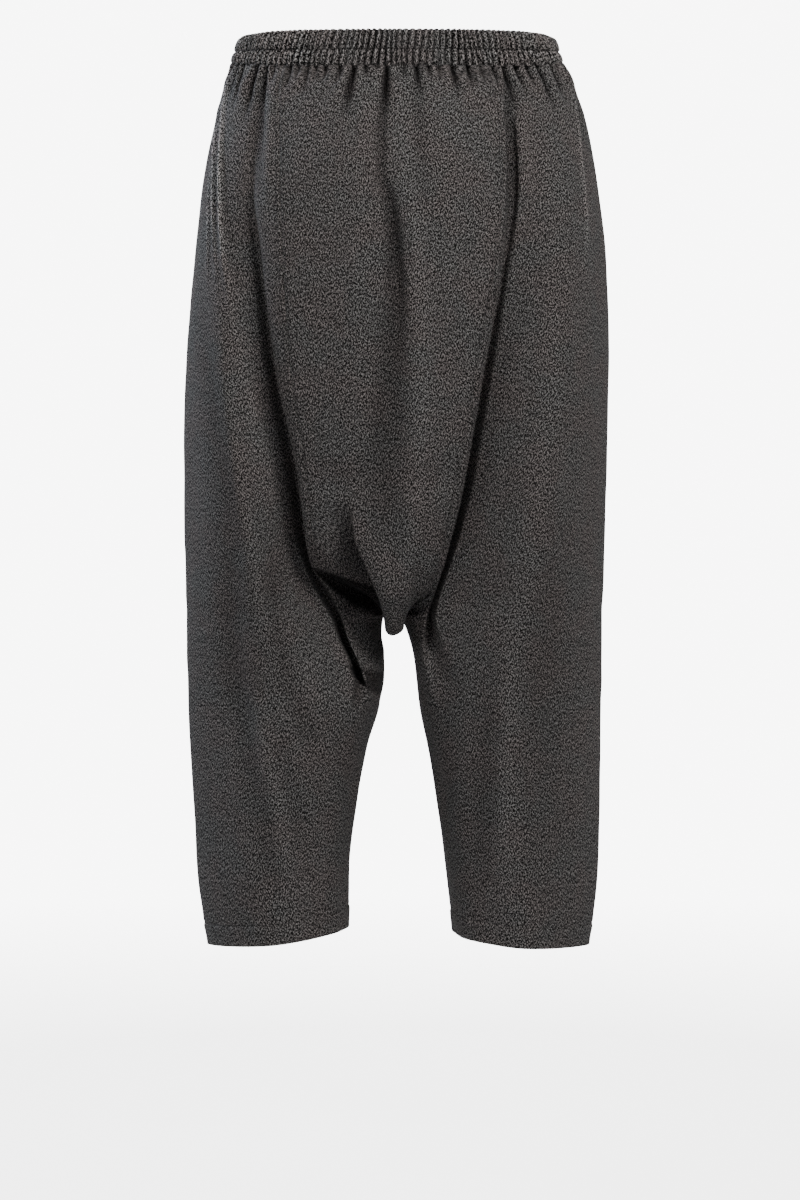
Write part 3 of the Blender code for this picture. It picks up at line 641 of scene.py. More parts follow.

# Folds of the hidden front and sides, by place along the section
FRONT_FOLD_COLUMNS = "drop place depth width"
FRONT_FOLDS = {
    "front diagonal": (
        (60, 9.35, 0, 0.16), (130, 9.55, -4, 0.18), (240, 9.95, -5.6, 0.22), (360, 10.3, -5.2, 0.24),
        (470, 10.5, 0, 0.25)),
    "front inner": (
        (120, 10.35, 0, 0.14), (220, 10.5, -3.2, 0.16), (340, 10.6, -4, 0.18), (470, 10.65, -2.8, 0.2),
        (520, 10.7, 0, 0.2)),
    "side drape": (
        (150, 8.45, 0, 0.2), (260, 8.5, -2.6, 0.24), (420, 8.55, -3.6, 0.28), (600, 8.6, -2.4, 0.26),
        (720, 8.6, 0, 0.24)),
    "shin crease": (
        (610, 9.2, 0, 0.2), (660, 9.4, -3.2, 0.2), (720, 9.7, -2.8, 0.22), (790, 9.9, 0, 0.22)),
}

# The slow, slight unevenness of hanging cloth. Waves round the body: height, waves in a turn,
# lean, phase. Patches: height, then x, z and phase, and y, z and phase.
DRAPE_WAVES = ((0.55, 5.0, 0.011, 0.8), (0.40, 9.0, -0.017, 2.1))
DRAPE_PATCHES = ((0.28, 0.071, 0.031, 1.3, 0.05, 0.023, 0.0),
                 (0.16, 0.16, -0.052, 0.4, 0.12, 0.061, 1.0))


def uneven(number, seed):
    """A repeatable uneven value from -1 to 1 for the number-th of some pieces."""
    slow = math.sin(number * 7.233 + seed * 9.2)
    return math.sin(number * 12.9898 + seed * 4.1414) * 0.6 + slow * 0.4


def side_gathers():
    """Gathers round the sides and the front, spaced and sized unevenly."""
    gathers = []
    (deep, deep_by), (long, long_by), (wide, wide_by) = SIDE_GATHER_SIZES
    for side, sign in SIGN.items():
        full = GIRTH[side][1][-1]
        at = SIDE_GATHER_START
        number = 0
        while at < full - 3.0:
            depth = deep + deep_by * uneven(number, sign)
            length = max(long + long_by * uneven(number + 3, sign * 2.0), SIDE_GATHER_SHORTEST)
            gathers.append((sign * at, depth, length, wide + wide_by * uneven(number, 5.0), 0.0))
            at += SIDE_GATHER_PITCH * (1.0 + SIDE_GATHER_STRAY * uneven(number, 7.0 + sign))
            number += 1
    return gathers


def gather_list():
    """All gathers by girth; the listed ones are turned from x into girth."""
    result = side_gathers()
    places = np.linspace(0.0, SIDE, GATHER_SAMPLES)
    rows = {side: section_row(side, places, GIRTH_DROP) for side in SIGN}
    for x, *shape in MAIN_GATHERS:
        side = "left" if x >= 0 else "right"
        k = int(np.argmin(np.abs(rows[side][:, 0] - x)))
        result.append((float(girth(side, places[k:k + 1])[0]), *shape))
    return result


GATHERS = gather_list()


def gather_field(around, drops):
    """Depth of all gathers on a grid of girths (columns) and drops (rows)."""
    below = drops - SEAM_DROP_SIDE
    field = np.zeros_like(around)
    rise = smooth_step(below / GATHER_RISE) * (1.0 - GATHER_START) + GATHER_START
    for at, plain_depth, length, width, lean in GATHERS:
        depth = GATHER_LEAST + GATHER_SCALE * plain_depth
        spread = width * (GATHER_NARROW + GATHER_FLARE * np.clip(below / length, 0.0, 1.0))
        offset = (around - at - lean * below) / spread
        cleft = 0.55 * bell(offset) + 0.45 * bell(offset / GATHER_CORE)
        shoulder = 0.22 * bell(np.abs(offset) - 2.0)
        field += depth * (1.0 - smooth_step(below / length)) * rise * (shoulder - cleft)
    return field


def long_fold_field(points, drops):
    """Depth of the long folds on the back half of the grid, and the painted highlight on some ridges'
    edges.
    """
    field = np.zeros(points.shape[:2])
    painted_highlight = np.zeros(points.shape[:2])
    on_back = smooth_step((points[:, :, 1] + 12.0) / 24.0)
    fade = 1.0 - smooth_step((drops - HIGHLIGHT_UNTIL + HIGHLIGHT_FADE) / HIGHLIGHT_FADE)
    for name, rows in LONG_FOLDS.items():
        table = Table(LONG_FOLD_COLUMNS, rows)
        depth = np.where(table.spans(drops), table.read("depth", drops), 0.0) * on_back
        offset = (points[:, :, 0] - table.read("x", drops)) * (1.0 if rows[0][1] >= 0 else -1.0)
        width = np.where(offset < 0.0, table.read("inward", drops), table.read("outward", drops))
        near = bell(offset / width)
        field += LONG_FOLD_SCALE * depth * near
        if name in HIGHLIGHTED_RIDGES:
            painted_highlight += depth * near * near * fade
    return field, painted_highlight


def front_fold_field(places, drops):
    field = np.zeros_like(places)
    for rows in FRONT_FOLDS.values():
        table = Table(FRONT_FOLD_COLUMNS, rows)
        offset = (places - table.read("place", drops)) / table.read("width", drops)
        field += np.where(table.spans(drops), table.read("depth", drops) * bell(offset), 0.0)
    return field


def drape_field(points):
    x, y, z = (points[:, :, i] for i in range(3))
    turn = np.arctan2(y, x)
    field = 0.0
    for high, count, lean, phase in DRAPE_WAVES:
        field += high * np.sin(turn * count + z * lean + phase)
    for high, by_x, by_z, phase, by_y, also_z, other in DRAPE_PATCHES:
        field += high * np.sin(x * by_x + z * by_z + phase) * np.sin(y * by_y + z * also_z + other)
    return field


# ---------------- panels
def hem_field(drops, points):
    """The turned hem stands a little proud, with a dimple along its stitch."""
    above = HEM_DROP - drops - HEM_HEIGHT
    step = HEM_SHELL_STEP * (1.0 - smooth_step(above / 2.0 + 0.5))
    turn = np.arctan2(points[:, :, 1], np.abs(points[:, :, 0]) - HEM_MIDDLE)
    pucker = sum(high * np.sin(turn * count + phase) for high, count, phase in HEM_PUCKERS)
    return step - HEM_DIMPLE * bell(above / HEM_DIMPLE_WIDTH) + pucker * bell(above / HEM_PUCKER_REACH)


def grid_normals(points):
    """Unit normals of a grid by differences; the caller turns them outward."""
    out = np.cross(np.gradient(points, axis=1), np.gradient(points, axis=0))
    return out / np.maximum(np.linalg.norm(out, axis=2, keepdims=True), 1e-9)


def lengths_along(points, axis):
    """Length along the grid's lines up to each point."""
    steps = np.linalg.norm(np.diff(points, axis=axis), axis=2)
    start = np.zeros_like(points[:, :1, 0] if axis else points[:1, :, 0])
    return np.concatenate((start, np.cumsum(steps, axis=axis)), axis=axis)


def seam_field(points):
    """A narrow dip along the seams at both ends of every row."""
    along = lengths_along(points, 1)
    first, last = along - along[:, 1:2], along - along[:, -2:-1]
    return -SEAM_DIP * (bell(first / SEAM_DIP_WIDTH) + bell(last / SEAM_DIP_WIDTH))


def painted_cloth_light(gathers, folds, painted_highlight, dark):
    """Light that the cloth keeps, painted into its colour: painted shade in its creases, painted
    highlight on its ridges.
    """
    painted_light_share = (1.0 - dark) * (1.0 + HIGHLIGHT_GAIN * painted_highlight)
    for field, painted_shade_rate, least in ((gathers, GATHER_PAINTED_SHADE, PAINTED_LIGHT_LEAST), (folds, FOLD_PAINTED_SHADE, FOLD_LEAST)):
        level = 1.0 + painted_shade_rate * np.minimum(field, 0.0) + RIDGE_PAINTED_LIGHT * np.maximum(field, 0.0)
        painted_light_share = painted_light_share * np.clip(level, least, PAINTED_LIGHT_MOST)
    return painted_light_share


def displace(points, drops, around, sign, dark, more=0.0, share=1.0):
    """Adds the gathers, folds and pockets to a plain grid; gives points, normals and painted light and
    shade.
    """
    gathers = gather_field(around, drops)
    folds, painted_highlight = long_fold_field(points, drops)
    field = gathers + folds + seam_field(points) + more
    field += drape_field(points) * smooth_step((drops - SEAM_DROP_SIDE) / DRAPE_FADE)
    moved = points + grid_normals(points) * sign * (field * share)[:, :, None]
    sink, shade = pocket_fields(moved)
    moved[:, :, 1] -= sink * share
    # Painted shade in the creases and pockets and painted highlight on the ridges, multiplied into the
    # colour
    painted_light = painted_cloth_light(gathers, folds, painted_highlight, np.minimum(dark + shade, PAINTED_SHADE_MOST))
    return moved, grid_normals(moved) * sign, painted_light


def trim_places(side, places, drop, first, last):
    """Pushes a row's end columns out by half the seams' lap and adds ghost columns outside."""
    places = places.copy()
    for end, way, wanted in ((0, 0.01, first), (-1, -0.01, last)):
        if wanted:
            two = section_row(side, np.array((places[end], places[end] + way)), drop)
            places[end] -= way * SEAM_LAP / 2.0 / max(float(np.linalg.norm(two[1] - two[0])), 1e-6)
    return np.concatenate(([places[0] - GHOST_PLACE], places, [places[-1] + GHOST_PLACE]))


def crease_rows(side, places, drops):
    return np.array([crease_painted_shade(side, row, drop) for row, drop in zip(places, drops)])


def leg_grid(side, first, last):
    """A leg panel's outer points, normals and painted light and shade, row by row."""
    drops = all_rows()
    drops = [drops[0] - GHOST_ROW] + drops + [drops[-1] + GHOST_ROW]
    base = column_places(first, last)
    places = np.array([trim_places(side, base, min(drop, HEM_DROP), True, True) for drop in drops])
    points = np.array([surface_row(side, row, drop) for row, drop in zip(places, drops)])
    levels = np.repeat(np.array(drops)[:, None], points.shape[1], axis=1)
    more = front_fold_field(places, levels) + hem_field(levels, points)
    dark = crease_rows(side, places, drops)
    grids = displace(points, levels, girth(side, places), SIGN[side], dark, more)
    return [grid[1:-1, 1:-1] for grid in grids]


def panel_shares():
    """Where each column of the back panel lies across the solid, -1 to 1, with ghosts."""
    passed = np.cumsum((0,) + COARSE_COUNTS[:-1])
    half = [(passed[i] + coarse * k / COLUMN_COUNTS[i]) / sum(COARSE_COUNTS)
            for i, coarse in enumerate(COARSE_COUNTS) for k in range(COLUMN_COUNTS[i])] + [1.0]
    return np.array([-1.0] + [-share for share in half[::-1]] + half[1:] + [1.0])


def under_row(shares, middle_y, middle_drop, belly, edge_y, edge_drop):
    far = np.abs(shares)
    lift = far ** UNDER_ROUND
    wide = belly * np.sin(math.pi * far) + UNDER_EDGE * far
    x = CENTRE_X * (1.0 - far) - UNDER_SHIFT * np.sin(math.pi * far) - np.copysign(wide, shares)
    y = middle_y + (edge_y - middle_y) * lift
    return np.stack((x, y, -(middle_drop + (edge_drop - middle_drop) * lift)), axis=1)


def full_row(drop):
    """A row across both halves of the back panel, with its places, ghosts at both ends."""
    half = column_places(0, SEAM)
    left = trim_places("left", half, drop, False, True)[:0:-1]
    right = trim_places("right", half, drop, False, True)[2:]
    points = np.vstack((surface_row("left", left, drop), surface_row("right", right, drop)))
    return points, np.concatenate((left, right))


def centre_grid():
    """The back panel: plain rows to the tip, then rows that curl under it."""
    drops = [drop for drop in all_rows() if drop < TIP_KEY_ROWS[1] - 0.01]
    drops = [drops[0] - GHOST_ROW] + drops
    points, places = (list(part) for part in zip(*[full_row(drop) for drop in drops]))
    keys = [full_row(drop)[0] for drop in TIP_KEY_ROWS]
    keys += [under_row(panel_shares(), *values) for values in UNDER_ROWS]
    levels = TIP_KEY_ROWS + UNDER_LEVELS
    for k in range(1, len(keys) - 1):
        leave = (keys[k + 1] - keys[k - 1]) * 0.5
        arrive = (keys[min(k + 2, len(keys) - 1)] - keys[k]) * 0.5
        for t in np.arange(UNDER_STEPS) / UNDER_STEPS:
            points.append(hermite(t, 1.0, keys[k], keys[k + 1], leave, arrive))
            drops.append(levels[k] + (levels[k + 1] - levels[k]) * t)
    points = np.array(points + [keys[-1]])
    drops.append(levels[-1])
    places = np.array(places + [places[-1]] * (len(drops) - len(places)))
    middle = points.shape[1] // 2
    halves = (("left", places[:, :middle]), ("right", places[:, middle:]))
    around = np.hstack([girth(side, part) for side, part in halves])
    dark = np.hstack([crease_rows(side, part, drops) for side, part in halves])
    levels = np.repeat(np.array(drops)[:, None], points.shape[1], axis=1)
    tip_share = 1.0 - smooth_step((levels - UNDER_FADE_DROP) / UNDER_FADE)
    grids = displace(points, levels, around, -1.0, dark, share=tip_share)
    return [grid[1:, 1:-1] for grid in grids]


# ---------------- meshes
def grid_quads(index, flipped):
    quads = np.stack((index[:-1, :-1], index[:-1, 1:], index[1:, 1:], index[1:, :-1]), axis=-1)
    quads = quads.reshape(-1, 4)
    return quads[:, ::-1] if flipped else quads


def mesh_from(name, verts, faces):
    mesh = bpy.data.meshes.new(name)
    mesh.vertices.add(len(verts))
    mesh.vertices.foreach_set("co", np.asarray(verts, dtype=np.float32).ravel())
    mesh.loops.add(len(faces) * 4)
    mesh.loops.foreach_set("vertex_index", np.asarray(faces, dtype=np.int32).ravel())
    mesh.polygons.add(len(faces))
    mesh.polygons.foreach_set("loop_start", np.arange(0, len(faces) * 4, 4, dtype=np.int32))
    mesh.update(calc_edges=True)
    mesh.validate()
    mesh.shade_smooth()
    return mesh


def dress(mesh, painted_light, spread):
    """Stores each point's painted light and shade, and the cloth coordinates that spread gives for
    every corner.
    """
    layer = mesh.attributes.new(name=PAINTED_LIGHT_NAME, type="FLOAT", domain="POINT")
    layer.data.foreach_set("value", painted_light.astype(np.float32))
    layer = mesh.uv_layers.new(name="cloth")
    corner = np.empty(len(mesh.loops), dtype=np.int32)
    mesh.loops.foreach_get("vertex_index", corner)
    layer.data.foreach_set("uv", (spread(corner) * MM).astype(np.float32).ravel())


def link(name, mesh):
    item = bpy.data.objects.new(name, mesh)
    bpy.context.collection.objects.link(item)
    return item


def shell(name, points, out, painted_light, flipped):
    """A closed thin shell from a grid of outer points, normals and painted light and shade."""
    rows, columns = points.shape[:2]
    verts = np.concatenate((points.reshape(-1, 3), (points - out * CLOTH).reshape(-1, 3))) * MM
    index = np.arange(rows * columns).reshape(rows, columns)
    below = index + rows * columns
    quads = [grid_quads(index, flipped), grid_quads(below, not flipped)]
    for edge, turned in ((np.s_[0], not flipped), (np.s_[-1], flipped),
                         (np.s_[:, 0], flipped), (np.s_[:, -1], not flipped)):
        quads.append(grid_quads(np.stack((index[edge], below[edge])), turned))
    mesh = mesh_from(name, verts, np.concatenate(quads))
    along = lengths_along(points, 1)
    middle = columns // 2
    along -= along[:, middle:middle + 1]
    down = np.repeat(lengths_along(points[:, middle:middle + 1], 0), columns, axis=1)
    coords = np.tile(np.stack((along, down), axis=2).reshape(-1, 2), (2, 1))
    dress(mesh, np.concatenate((painted_light.ravel(), np.ones(painted_light.size))), lambda corner: coords[corner])
    return link(name, mesh)


# ---------------- waistband
BAND_COLUMNS = 1800
BAND_TOP = 10.6
BAND_TAPER = 8.0
BAND_PITCH = 6.0          # mean spacing of the gathers, along the ring
BAND_UNEVEN = 0.40        # share of the spacing by which they stray, and by which they drift up
BAND_DRIFT = 0.8
BAND_DEPTH = 6.0
BAND_LEVEL = 0.58         # share of a pucker's height that lies inside the plain ring
BAND_PUFF = 0.6           # share of the profile's puff that the cloth shows
BAND_LAP = 1.2            # the foot laps the panels' top edges by this much
BAND_SIDE_DROP = 3.0      # the top edge lies lower by this at both sides
BAND_FOLLOWS = 0.14       # share of its height over which the band follows the gathers below
BAND_MIDDLE = 0.465       # the stitched groove between its two channels
BAND_STRETCH = 1.35       # gathered cloth holds more length than its ring
BAND_STRENGTH = (0.75, 0.30)      # mean and unevenness of a pucker's height
BAND_ROUND = 1.15
BAND_SAMPLES = 600
BAND_RUN = 3.0            # how far the clefts run aside over the band's height
BAND_LOWER_LEAN = 0.6     # share of the lean that the lower channel's gathers have
BAND_MIX = (0.42, 0.09)   # height where the upper channel's gathers begin, and over how much
BAND_PAINTED_LIGHT = (1.12, 1.9)   # painted light kept at mid height of a pucker, and its change with the height
BAND_PAINTED_LIGHT_RANGE = (0.25, 1.9)
# Lines of painted shade along the groove and the foot: share of light lost, height, width
BAND_LINES = ((0.65, BAND_MIDDLE, 0.016), (0.85, 0.0, 0.034))
BAND_LINE_LEAST = 0.15
BAND_RUFFLE = 1.3         # unevenness of the top edge, over the height's last fifth
BAND_GROOVE_WAVE = 0.9    # rise and fall of the groove, and the height over which it shows
BAND_GROOVE_REACH = 0.04
# height share from the seam to the top edge, outward puff, gather share
BAND_PROFILE = (
    (0, 0.1, 0.3), (0.02, -0.2, 0.35), (0.05, -0.1, 0.6), (0.09, 0.6, 0.85), (0.13, 1.2, 1),
    (0.18, 1.5, 1), (0.24, 1.6, 1), (0.3, 1.5, 1), (0.35, 1.2, 1), (0.4, 0.7, 0.95), (0.43, 0.2, 0.8),
    (0.452, -0.4, 0.6), (0.465, -0.8, 0.5), (0.478, -0.4, 0.6), (0.5, 0.2, 0.8), (0.54, 0.8, 0.95),
    (0.6, 1.4, 1), (0.66, 1.7, 1), (0.72, 1.8, 1), (0.78, 1.7, 1), (0.84, 1.4, 1), (0.89, 0.9, 1),
    (0.93, 0.3, 1), (0.96, -0.5, 0.95), (0.985, -1.7, 0.85), (1, -3.4, 0.7))
BAND_INSIDE = (
    (0.99, -6, 0.6), (0.95, -6.8, 0.55), (0.85, -6.6, 0.5), (0.7, -5.6, 0.5), (0.48, -5.2, 0.4),
    (0.25, -6.6, 0.4), (0.08, -8.2, 0.3), (0, -8, 0.3))
# Gathers lean one way left of the middle and the other way right of it: turn, lean
BAND_LEANS = ((-math.pi, 0.0), (-1.6, 1.6), (-0.9, 2.6), (-0.25, 2.2),
              (0.3, 0.4), (0.9, -2.2), (1.6, -1.4), (math.pi, 0.0))
# The waistband's two rows of stitches: share of its height, and how far out they lie
BAND_STITCHES = (("band_stitch_middle", BAND_MIDDLE, -0.6), ("band_stitch_foot", 0.02, -0.4))
BAND_STITCH_RISE = 0.4


def band_ring(turn, grow):
    """Points on the waist ring at turns from the centre back, grown outward."""
    angle = math.pi / 2.0 + turn
    c, s = np.cos(angle), np.sin(angle)
    half = np.where(c > 0.0, WAIST_HALF["left"], WAIST_HALF["right"]) + grow
    depth = np.where(s > 0.0, WAIST_BACK, WAIST_FRONT) + grow
    return (np.copysign(half * np.abs(c) ** (2.0 / WAIST_ROUND), c),
            np.copysign(depth * np.abs(s) ** (2.0 / WAIST_ROUND), s))


def band_foot(turns, rise):
    return rise - SEAM_DROP_SIDE - seam_dip(band_ring(turns, 0.0)[1])


def even_turns(count):
    """Turns that lie evenly along the ring."""
    fine = np.linspace(-math.pi, math.pi, 20001)
    x, y = band_ring(fine, 0.0)
    length = np.concatenate(([0.0], np.cumsum(np.hypot(np.diff(x), np.diff(y)))))
    at = np.arange(count) / count * length[-1]
    return np.interp(at, length, fine), at, length[-1]


def band_wave(at, total, seed, lean, height):
    """Rounded puckers with narrow clefts between them, uneven in width, depth and slant."""
    count = int(round(total / BAND_PITCH))
    pitch = total / count
    numbers = range(count)
    edges = np.array([(k + BAND_UNEVEN * uneven(k, seed)) * pitch
                      + BAND_DRIFT * height * uneven(k, seed + 5.0) for k in numbers])
    strength = np.array([BAND_STRENGTH[0] + BAND_STRENGTH[1] * uneven(k, seed + 3.0) for k in numbers])
    shifted = (at - lean * height) % total
    order = np.searchsorted(edges, shifted) - 1
    low = edges[order % count] - total * (order < 0)
    high = edges[(order + 1) % count] + total * (order + 1 >= count)
    t = (shifted - low) / np.maximum(high - low, 0.5)
    puff = np.sin(math.pi * np.clip(t, 0.0, 1.0)) ** BAND_ROUND
    return (puff - BAND_LEVEL) * strength[order % count] * ((high - low) / pitch) ** 0.5


def build_waistband():
    turns, at, total = even_turns(BAND_COLUMNS)
    foot = band_foot(turns, -BAND_LAP)
    lean = np.interp(turns, *np.array(BAND_LEANS).T)

    def upper(height):
        return band_wave(at, total, 1.0, lean, height * BAND_RUN)

    def lower(height):
        return band_wave(at, total, 2.3, BAND_LOWER_LEAN * lean, height * BAND_RUN)

    half = total / 2.0
    full = np.where(at > half, GIRTH["left"][1][-1], GIRTH["right"][1][-1])
    around = np.where(at > half, 1.0, -1.0) * full * (1.0 - np.abs(at - half) / half)
    around = np.roll(around, BAND_COLUMNS // 2) * -1.0
    seam_gathers = gather_field(around, np.full(BAND_COLUMNS, SEAM_DROP_SIDE))
    rings = []
    painted_lights = []
    for height, puff, share in BAND_PROFILE + BAND_INSIDE:
        mix = smooth_step((height - BAND_MIX[0]) / BAND_MIX[1])
        wave = upper(height) * mix + lower(height) * (1.0 - mix)
        grow = BAND_PUFF * puff - BAND_TAPER * height + wave * BAND_DEPTH * share
        grow = grow + seam_gathers * (1.0 - smooth_step(height / BAND_FOLLOWS))
        # Painted light and shade: darker in the clefts and along the groove and foot, lighter on the
        # puckers
        line = 1.0 - sum(loss * bell((height - place) / width) for loss, place, width in BAND_LINES)
        painted_light = np.clip(BAND_PAINTED_LIGHT[0] + BAND_PAINTED_LIGHT[1] * wave, *BAND_PAINTED_LIGHT_RANGE)
        painted_lights.append(painted_light * max(line, BAND_LINE_LEAST))
        x, y = band_ring(turns, grow)
        at_side = 1.0 - smooth_step(np.abs(y) / (0.75 * WAIST_BACK))
        ruffle = BAND_RUFFLE * upper(1.0) * smooth_step((height - 0.8) / 0.2)
        top = BAND_TOP - BAND_SIDE_DROP * at_side + ruffle
        pucker = BAND_GROOVE_WAVE * lower(0.4) * bell((height - BAND_MIDDLE) / BAND_GROOVE_REACH)
        rings.append(np.stack((x, y, foot + (top - foot) * height + pucker), axis=1))
    points = np.array(rings)
    inside = len(BAND_PROFILE)
    painted_lights[inside:] = [np.ones(BAND_COLUMNS)] * len(BAND_INSIDE)
    index = np.arange(len(rings) * BAND_COLUMNS).reshape(len(rings), BAND_COLUMNS)
    quads = grid_quads(np.pad(index, (0, 1), "wrap"), False)
    mesh = mesh_from("waistband_shell", points.reshape(-1, 3) * MM, quads)
    heights = lengths_along(points[:, :1], 0)[:, 0]

    def spread(corner):
        row, column = corner // BAND_COLUMNS, corner % BAND_COLUMNS
        widest = np.repeat(np.max(column.reshape(-1, 4), axis=1), 4)
        wraps = (column == 0) & (widest == BAND_COLUMNS - 1)
        return np.stack((np.where(wraps, total, at[column]) * BAND_STRETCH, heights[row]), axis=1)

    dress(mesh, np.array(painted_lights).ravel(), spread)
    return link("waistband_shell", mesh), points[:inside]


def band_stitches(name, height, grow):
    """Thread drawn tight round the waistband at one height, in the groove that it pulls in."""
    turns = even_turns(BAND_SAMPLES)[0]
    turns = np.append(turns, turns[0] + 2.0 * math.pi)
    x, y = band_ring(turns, grow - BAND_TAPER * height)
    foot = band_foot(turns, BAND_STITCH_RISE)
    out = np.stack((x, y, np.zeros_like(x)), axis=1)
    path = np.stack((x, y, foot + (BAND_TOP - foot) * height), axis=1)
    return stitches(name, path, out / np.linalg.norm(out, axis=1)[:, None])


# ---------------- stitches
TOPSTITCH_INSET = 3.9    # the double row of stitches runs this far to each side of the seam
TOPSTITCH_END = 480.0
STITCH_LENGTH = 2.7
STITCH_PITCH = 3.3
STITCH_SIDES = 5
THREAD = 0.32            # thread radius
# Rings of one stitch: share of its length, share of the radius, lift
STITCH_RINGS = ((0.0, 0.55, -0.45), (0.22, 1.0, 0.1), (0.5, 1.05, 0.3), (0.78, 1.0, 0.1),
                (1.0, 0.55, -0.45))


def unit(vectors):
    return vectors / np.maximum(np.linalg.norm(vectors, axis=-1, keepdims=True), 1e-9)


def stitches(name, path, out):
    """A row of thread stitches laid along a path, sunk at both ends."""
    at = np.concatenate(([0.0], np.cumsum(np.linalg.norm(np.diff(path, axis=0), axis=1))))
    share, wide, lift = np.array(STITCH_RINGS).T
    spots = np.arange(int(at[-1] / STITCH_PITCH))[:, None] * STITCH_PITCH + share * STITCH_LENGTH
    centre, normal = (np.stack([np.interp(spots, at, line[:, i]) for i in range(3)], axis=-1)
                      for line in (path, out))
    normal = unit(normal)
    centre = centre + normal * (lift * THREAD * 1.5)[:, None]
    across = unit(np.cross(unit(centre[:, -1:] - centre[:, :1]), normal))
    angle = 2.0 * math.pi * np.arange(STITCH_SIDES)[:, None] / STITCH_SIDES
    around = across[:, :, None] * np.cos(angle) + normal[:, :, None] * np.sin(angle)
    verts = (centre[:, :, None] + around * THREAD * wide[:, None, None]).reshape(-1, 3) * MM
    size = len(STITCH_RINGS) * STITCH_SIDES
    one = [(low + j, low + (j + 1) % STITCH_SIDES,
            low + STITCH_SIDES + (j + 1) % STITCH_SIDES, low + STITCH_SIDES + j)
           for low in range(0, size - STITCH_SIDES, STITCH_SIDES) for j in range(STITCH_SIDES)]
    one += [tuple(range(STITCH_SIDES))[::-1], tuple(range(size - STITCH_SIDES, size))]
    faces = [tuple(first + k for k in face) for first in range(0, len(verts), size) for face in one]
    mesh = bpy.data.meshes.new(name)
    mesh.from_pydata(verts.tolist(), [], faces)
    mesh.validate()
    mesh.shade_smooth()
    return link(name, mesh)


def inset_path(points, out, edge, rows):
    """A path and its normals down a grid, inset along the cloth from its first or last column."""
    order = slice(None) if edge == "first" else slice(None, None, -1)
    both = np.concatenate((points, out), axis=2)[rows][:, order]
    along = lengths_along(points[rows][:, order], 1)
    line = np.array([[np.interp(TOPSTITCH_INSET, at, strip[:, i]) for i in range(6)]
                     for at, strip in zip(along, both)])
    return line[:, :3], line[:, 3:]


# ---------------- materials
FLECK_SCALE = 930.0      # flecks in a metre
DARK_YARN = (0.0011, 0.0010, 0.0010, 1.0)
MID_YARN = (0.0150, 0.0136, 0.0134, 1.0)
LIGHT_YARN = (0.34, 0.319, 0.313, 1.0)
COOL_TINT = (0.95, 0.99, 0.99, 1.0)
WARM_TINT = (1.04, 1.0, 0.99, 1.0)
YARN_STOPS = (0.455, 0.502, 0.572)       # levels at which the yarn is dark, middling and light
TINT_STOPS = (0.35, 0.65)
# Flecks of the weave: turn, stretch, scale, detail, seed
WEAVE = ((0.95, 0.5, FLECK_SCALE, 1.5, 3.1), (-0.85, 0.6, FLECK_SCALE * 1.05, 1.5, 7.7),
         (0.1, 0.9, FLECK_SCALE * 1.9, 1.0, 1.9))
PATCHES = (0.0, 1.0, 22.0, 2.0, 12.0)    # the same five for the slow change of tint
LONG_FLECKS = 0.36                       # shares of the long flecks and of the short ones
SHORT_FLECKS = 0.28
WEAVE_BUMP = {"Strength": 0.35, "Distance": 0.0006}
ROUGH_FALL = -0.25                       # light flecks are this much smoother
CLOTH_GLOSS = {"Specular IOR Level": 0.12, "Sheen Weight": 0.035, "Sheen Roughness": 0.35,
               "Sheen Tint": (0.80, 0.84, 0.92, 1.0)}
THREAD_DARK = (0.008, 0.008, 0.008, 1.0)
THREAD_LIGHT = (0.032, 0.030, 0.029, 1.0)
FLOOR_DARK = (0.90, 0.90, 0.90, 1.0)
FLOOR_LIGHT = (0.93, 0.93, 0.93, 1.0)
FLOOR_SHOWS = 0.45                       # share of the floor that covers the backdrop


def new_material(name, roughness=None):
    material = bpy.data.materials.new(name)
    material.use_nodes = True
    shader = material.node_tree.nodes["Principled BSDF"]
    if roughness is not None:
        shader.inputs["Roughness"].default_value = roughness
    return material, material.node_tree, shader


def set_inputs(item, values):
    for name, value in values.items():
        item.inputs[name].default_value = value


def node(tree, kind, values, links):
    """A new node with some inputs set and others linked, by name."""
    item = tree.nodes.new(kind)
    set_inputs(item, values)
    for name, source in links.items():
        tree.links.new(source, item.inputs[name])
    return item


def maths(tree, kind, a, b, clamp=False):
    item = tree.nodes.new("ShaderNodeMath")
    item.operation = kind
    item.use_clamp = clamp
    for socket, value in zip(item.inputs, (a, b)):
        if isinstance(value, float):
            socket.default_value = value
        else:
            tree.links.new(value, socket)
    return item.outputs[0]


def ramp(tree, level, *stops):
    """A colour ramp over a level; the first two stops are its outer ones."""
    item = node(tree, "ShaderNodeValToRGB", {}, {"Fac": level})
    elements = item.color_ramp.elements
    for i, (position, colour) in enumerate(stops):
        element = elements[i] if i < 2 else elements.new(position)
        element.position = position
        element.color = colour
    return item.outputs["Color"]


def multiplied(tree, colour, factor):
    item = tree.nodes.new("ShaderNodeMix")
    item.data_type = "RGBA"
    item.blend_type = "MULTIPLY"
    item.inputs["Factor"].default_value = 1.0
    tree.links.new(colour, item.inputs["A"])
    tree.links.new(factor, item.inputs["B"])
    return item.outputs["Result"]


def fleck_noise(tree, coords, turn, stretch, scale, detail, seed):
    """Short dashes of yarn: noise stretched along one direction."""
    laid = {"Rotation": (0.0, 0.0, turn), "Scale": (1.0, stretch, 1.0),
            "Location": (seed, seed * 0.37, 0.0)}
    mapping = node(tree, "ShaderNodeMapping", laid, {"Vector": coords})
    noise = tree.nodes.new("ShaderNodeTexNoise")
    noise.noise_dimensions = "2D"
    set_inputs(noise, {"Scale": scale, "Detail": detail, "Roughness": 0.6})
    tree.links.new(mapping.outputs["Vector"], noise.inputs["Vector"])
    return noise.outputs["Fac"]


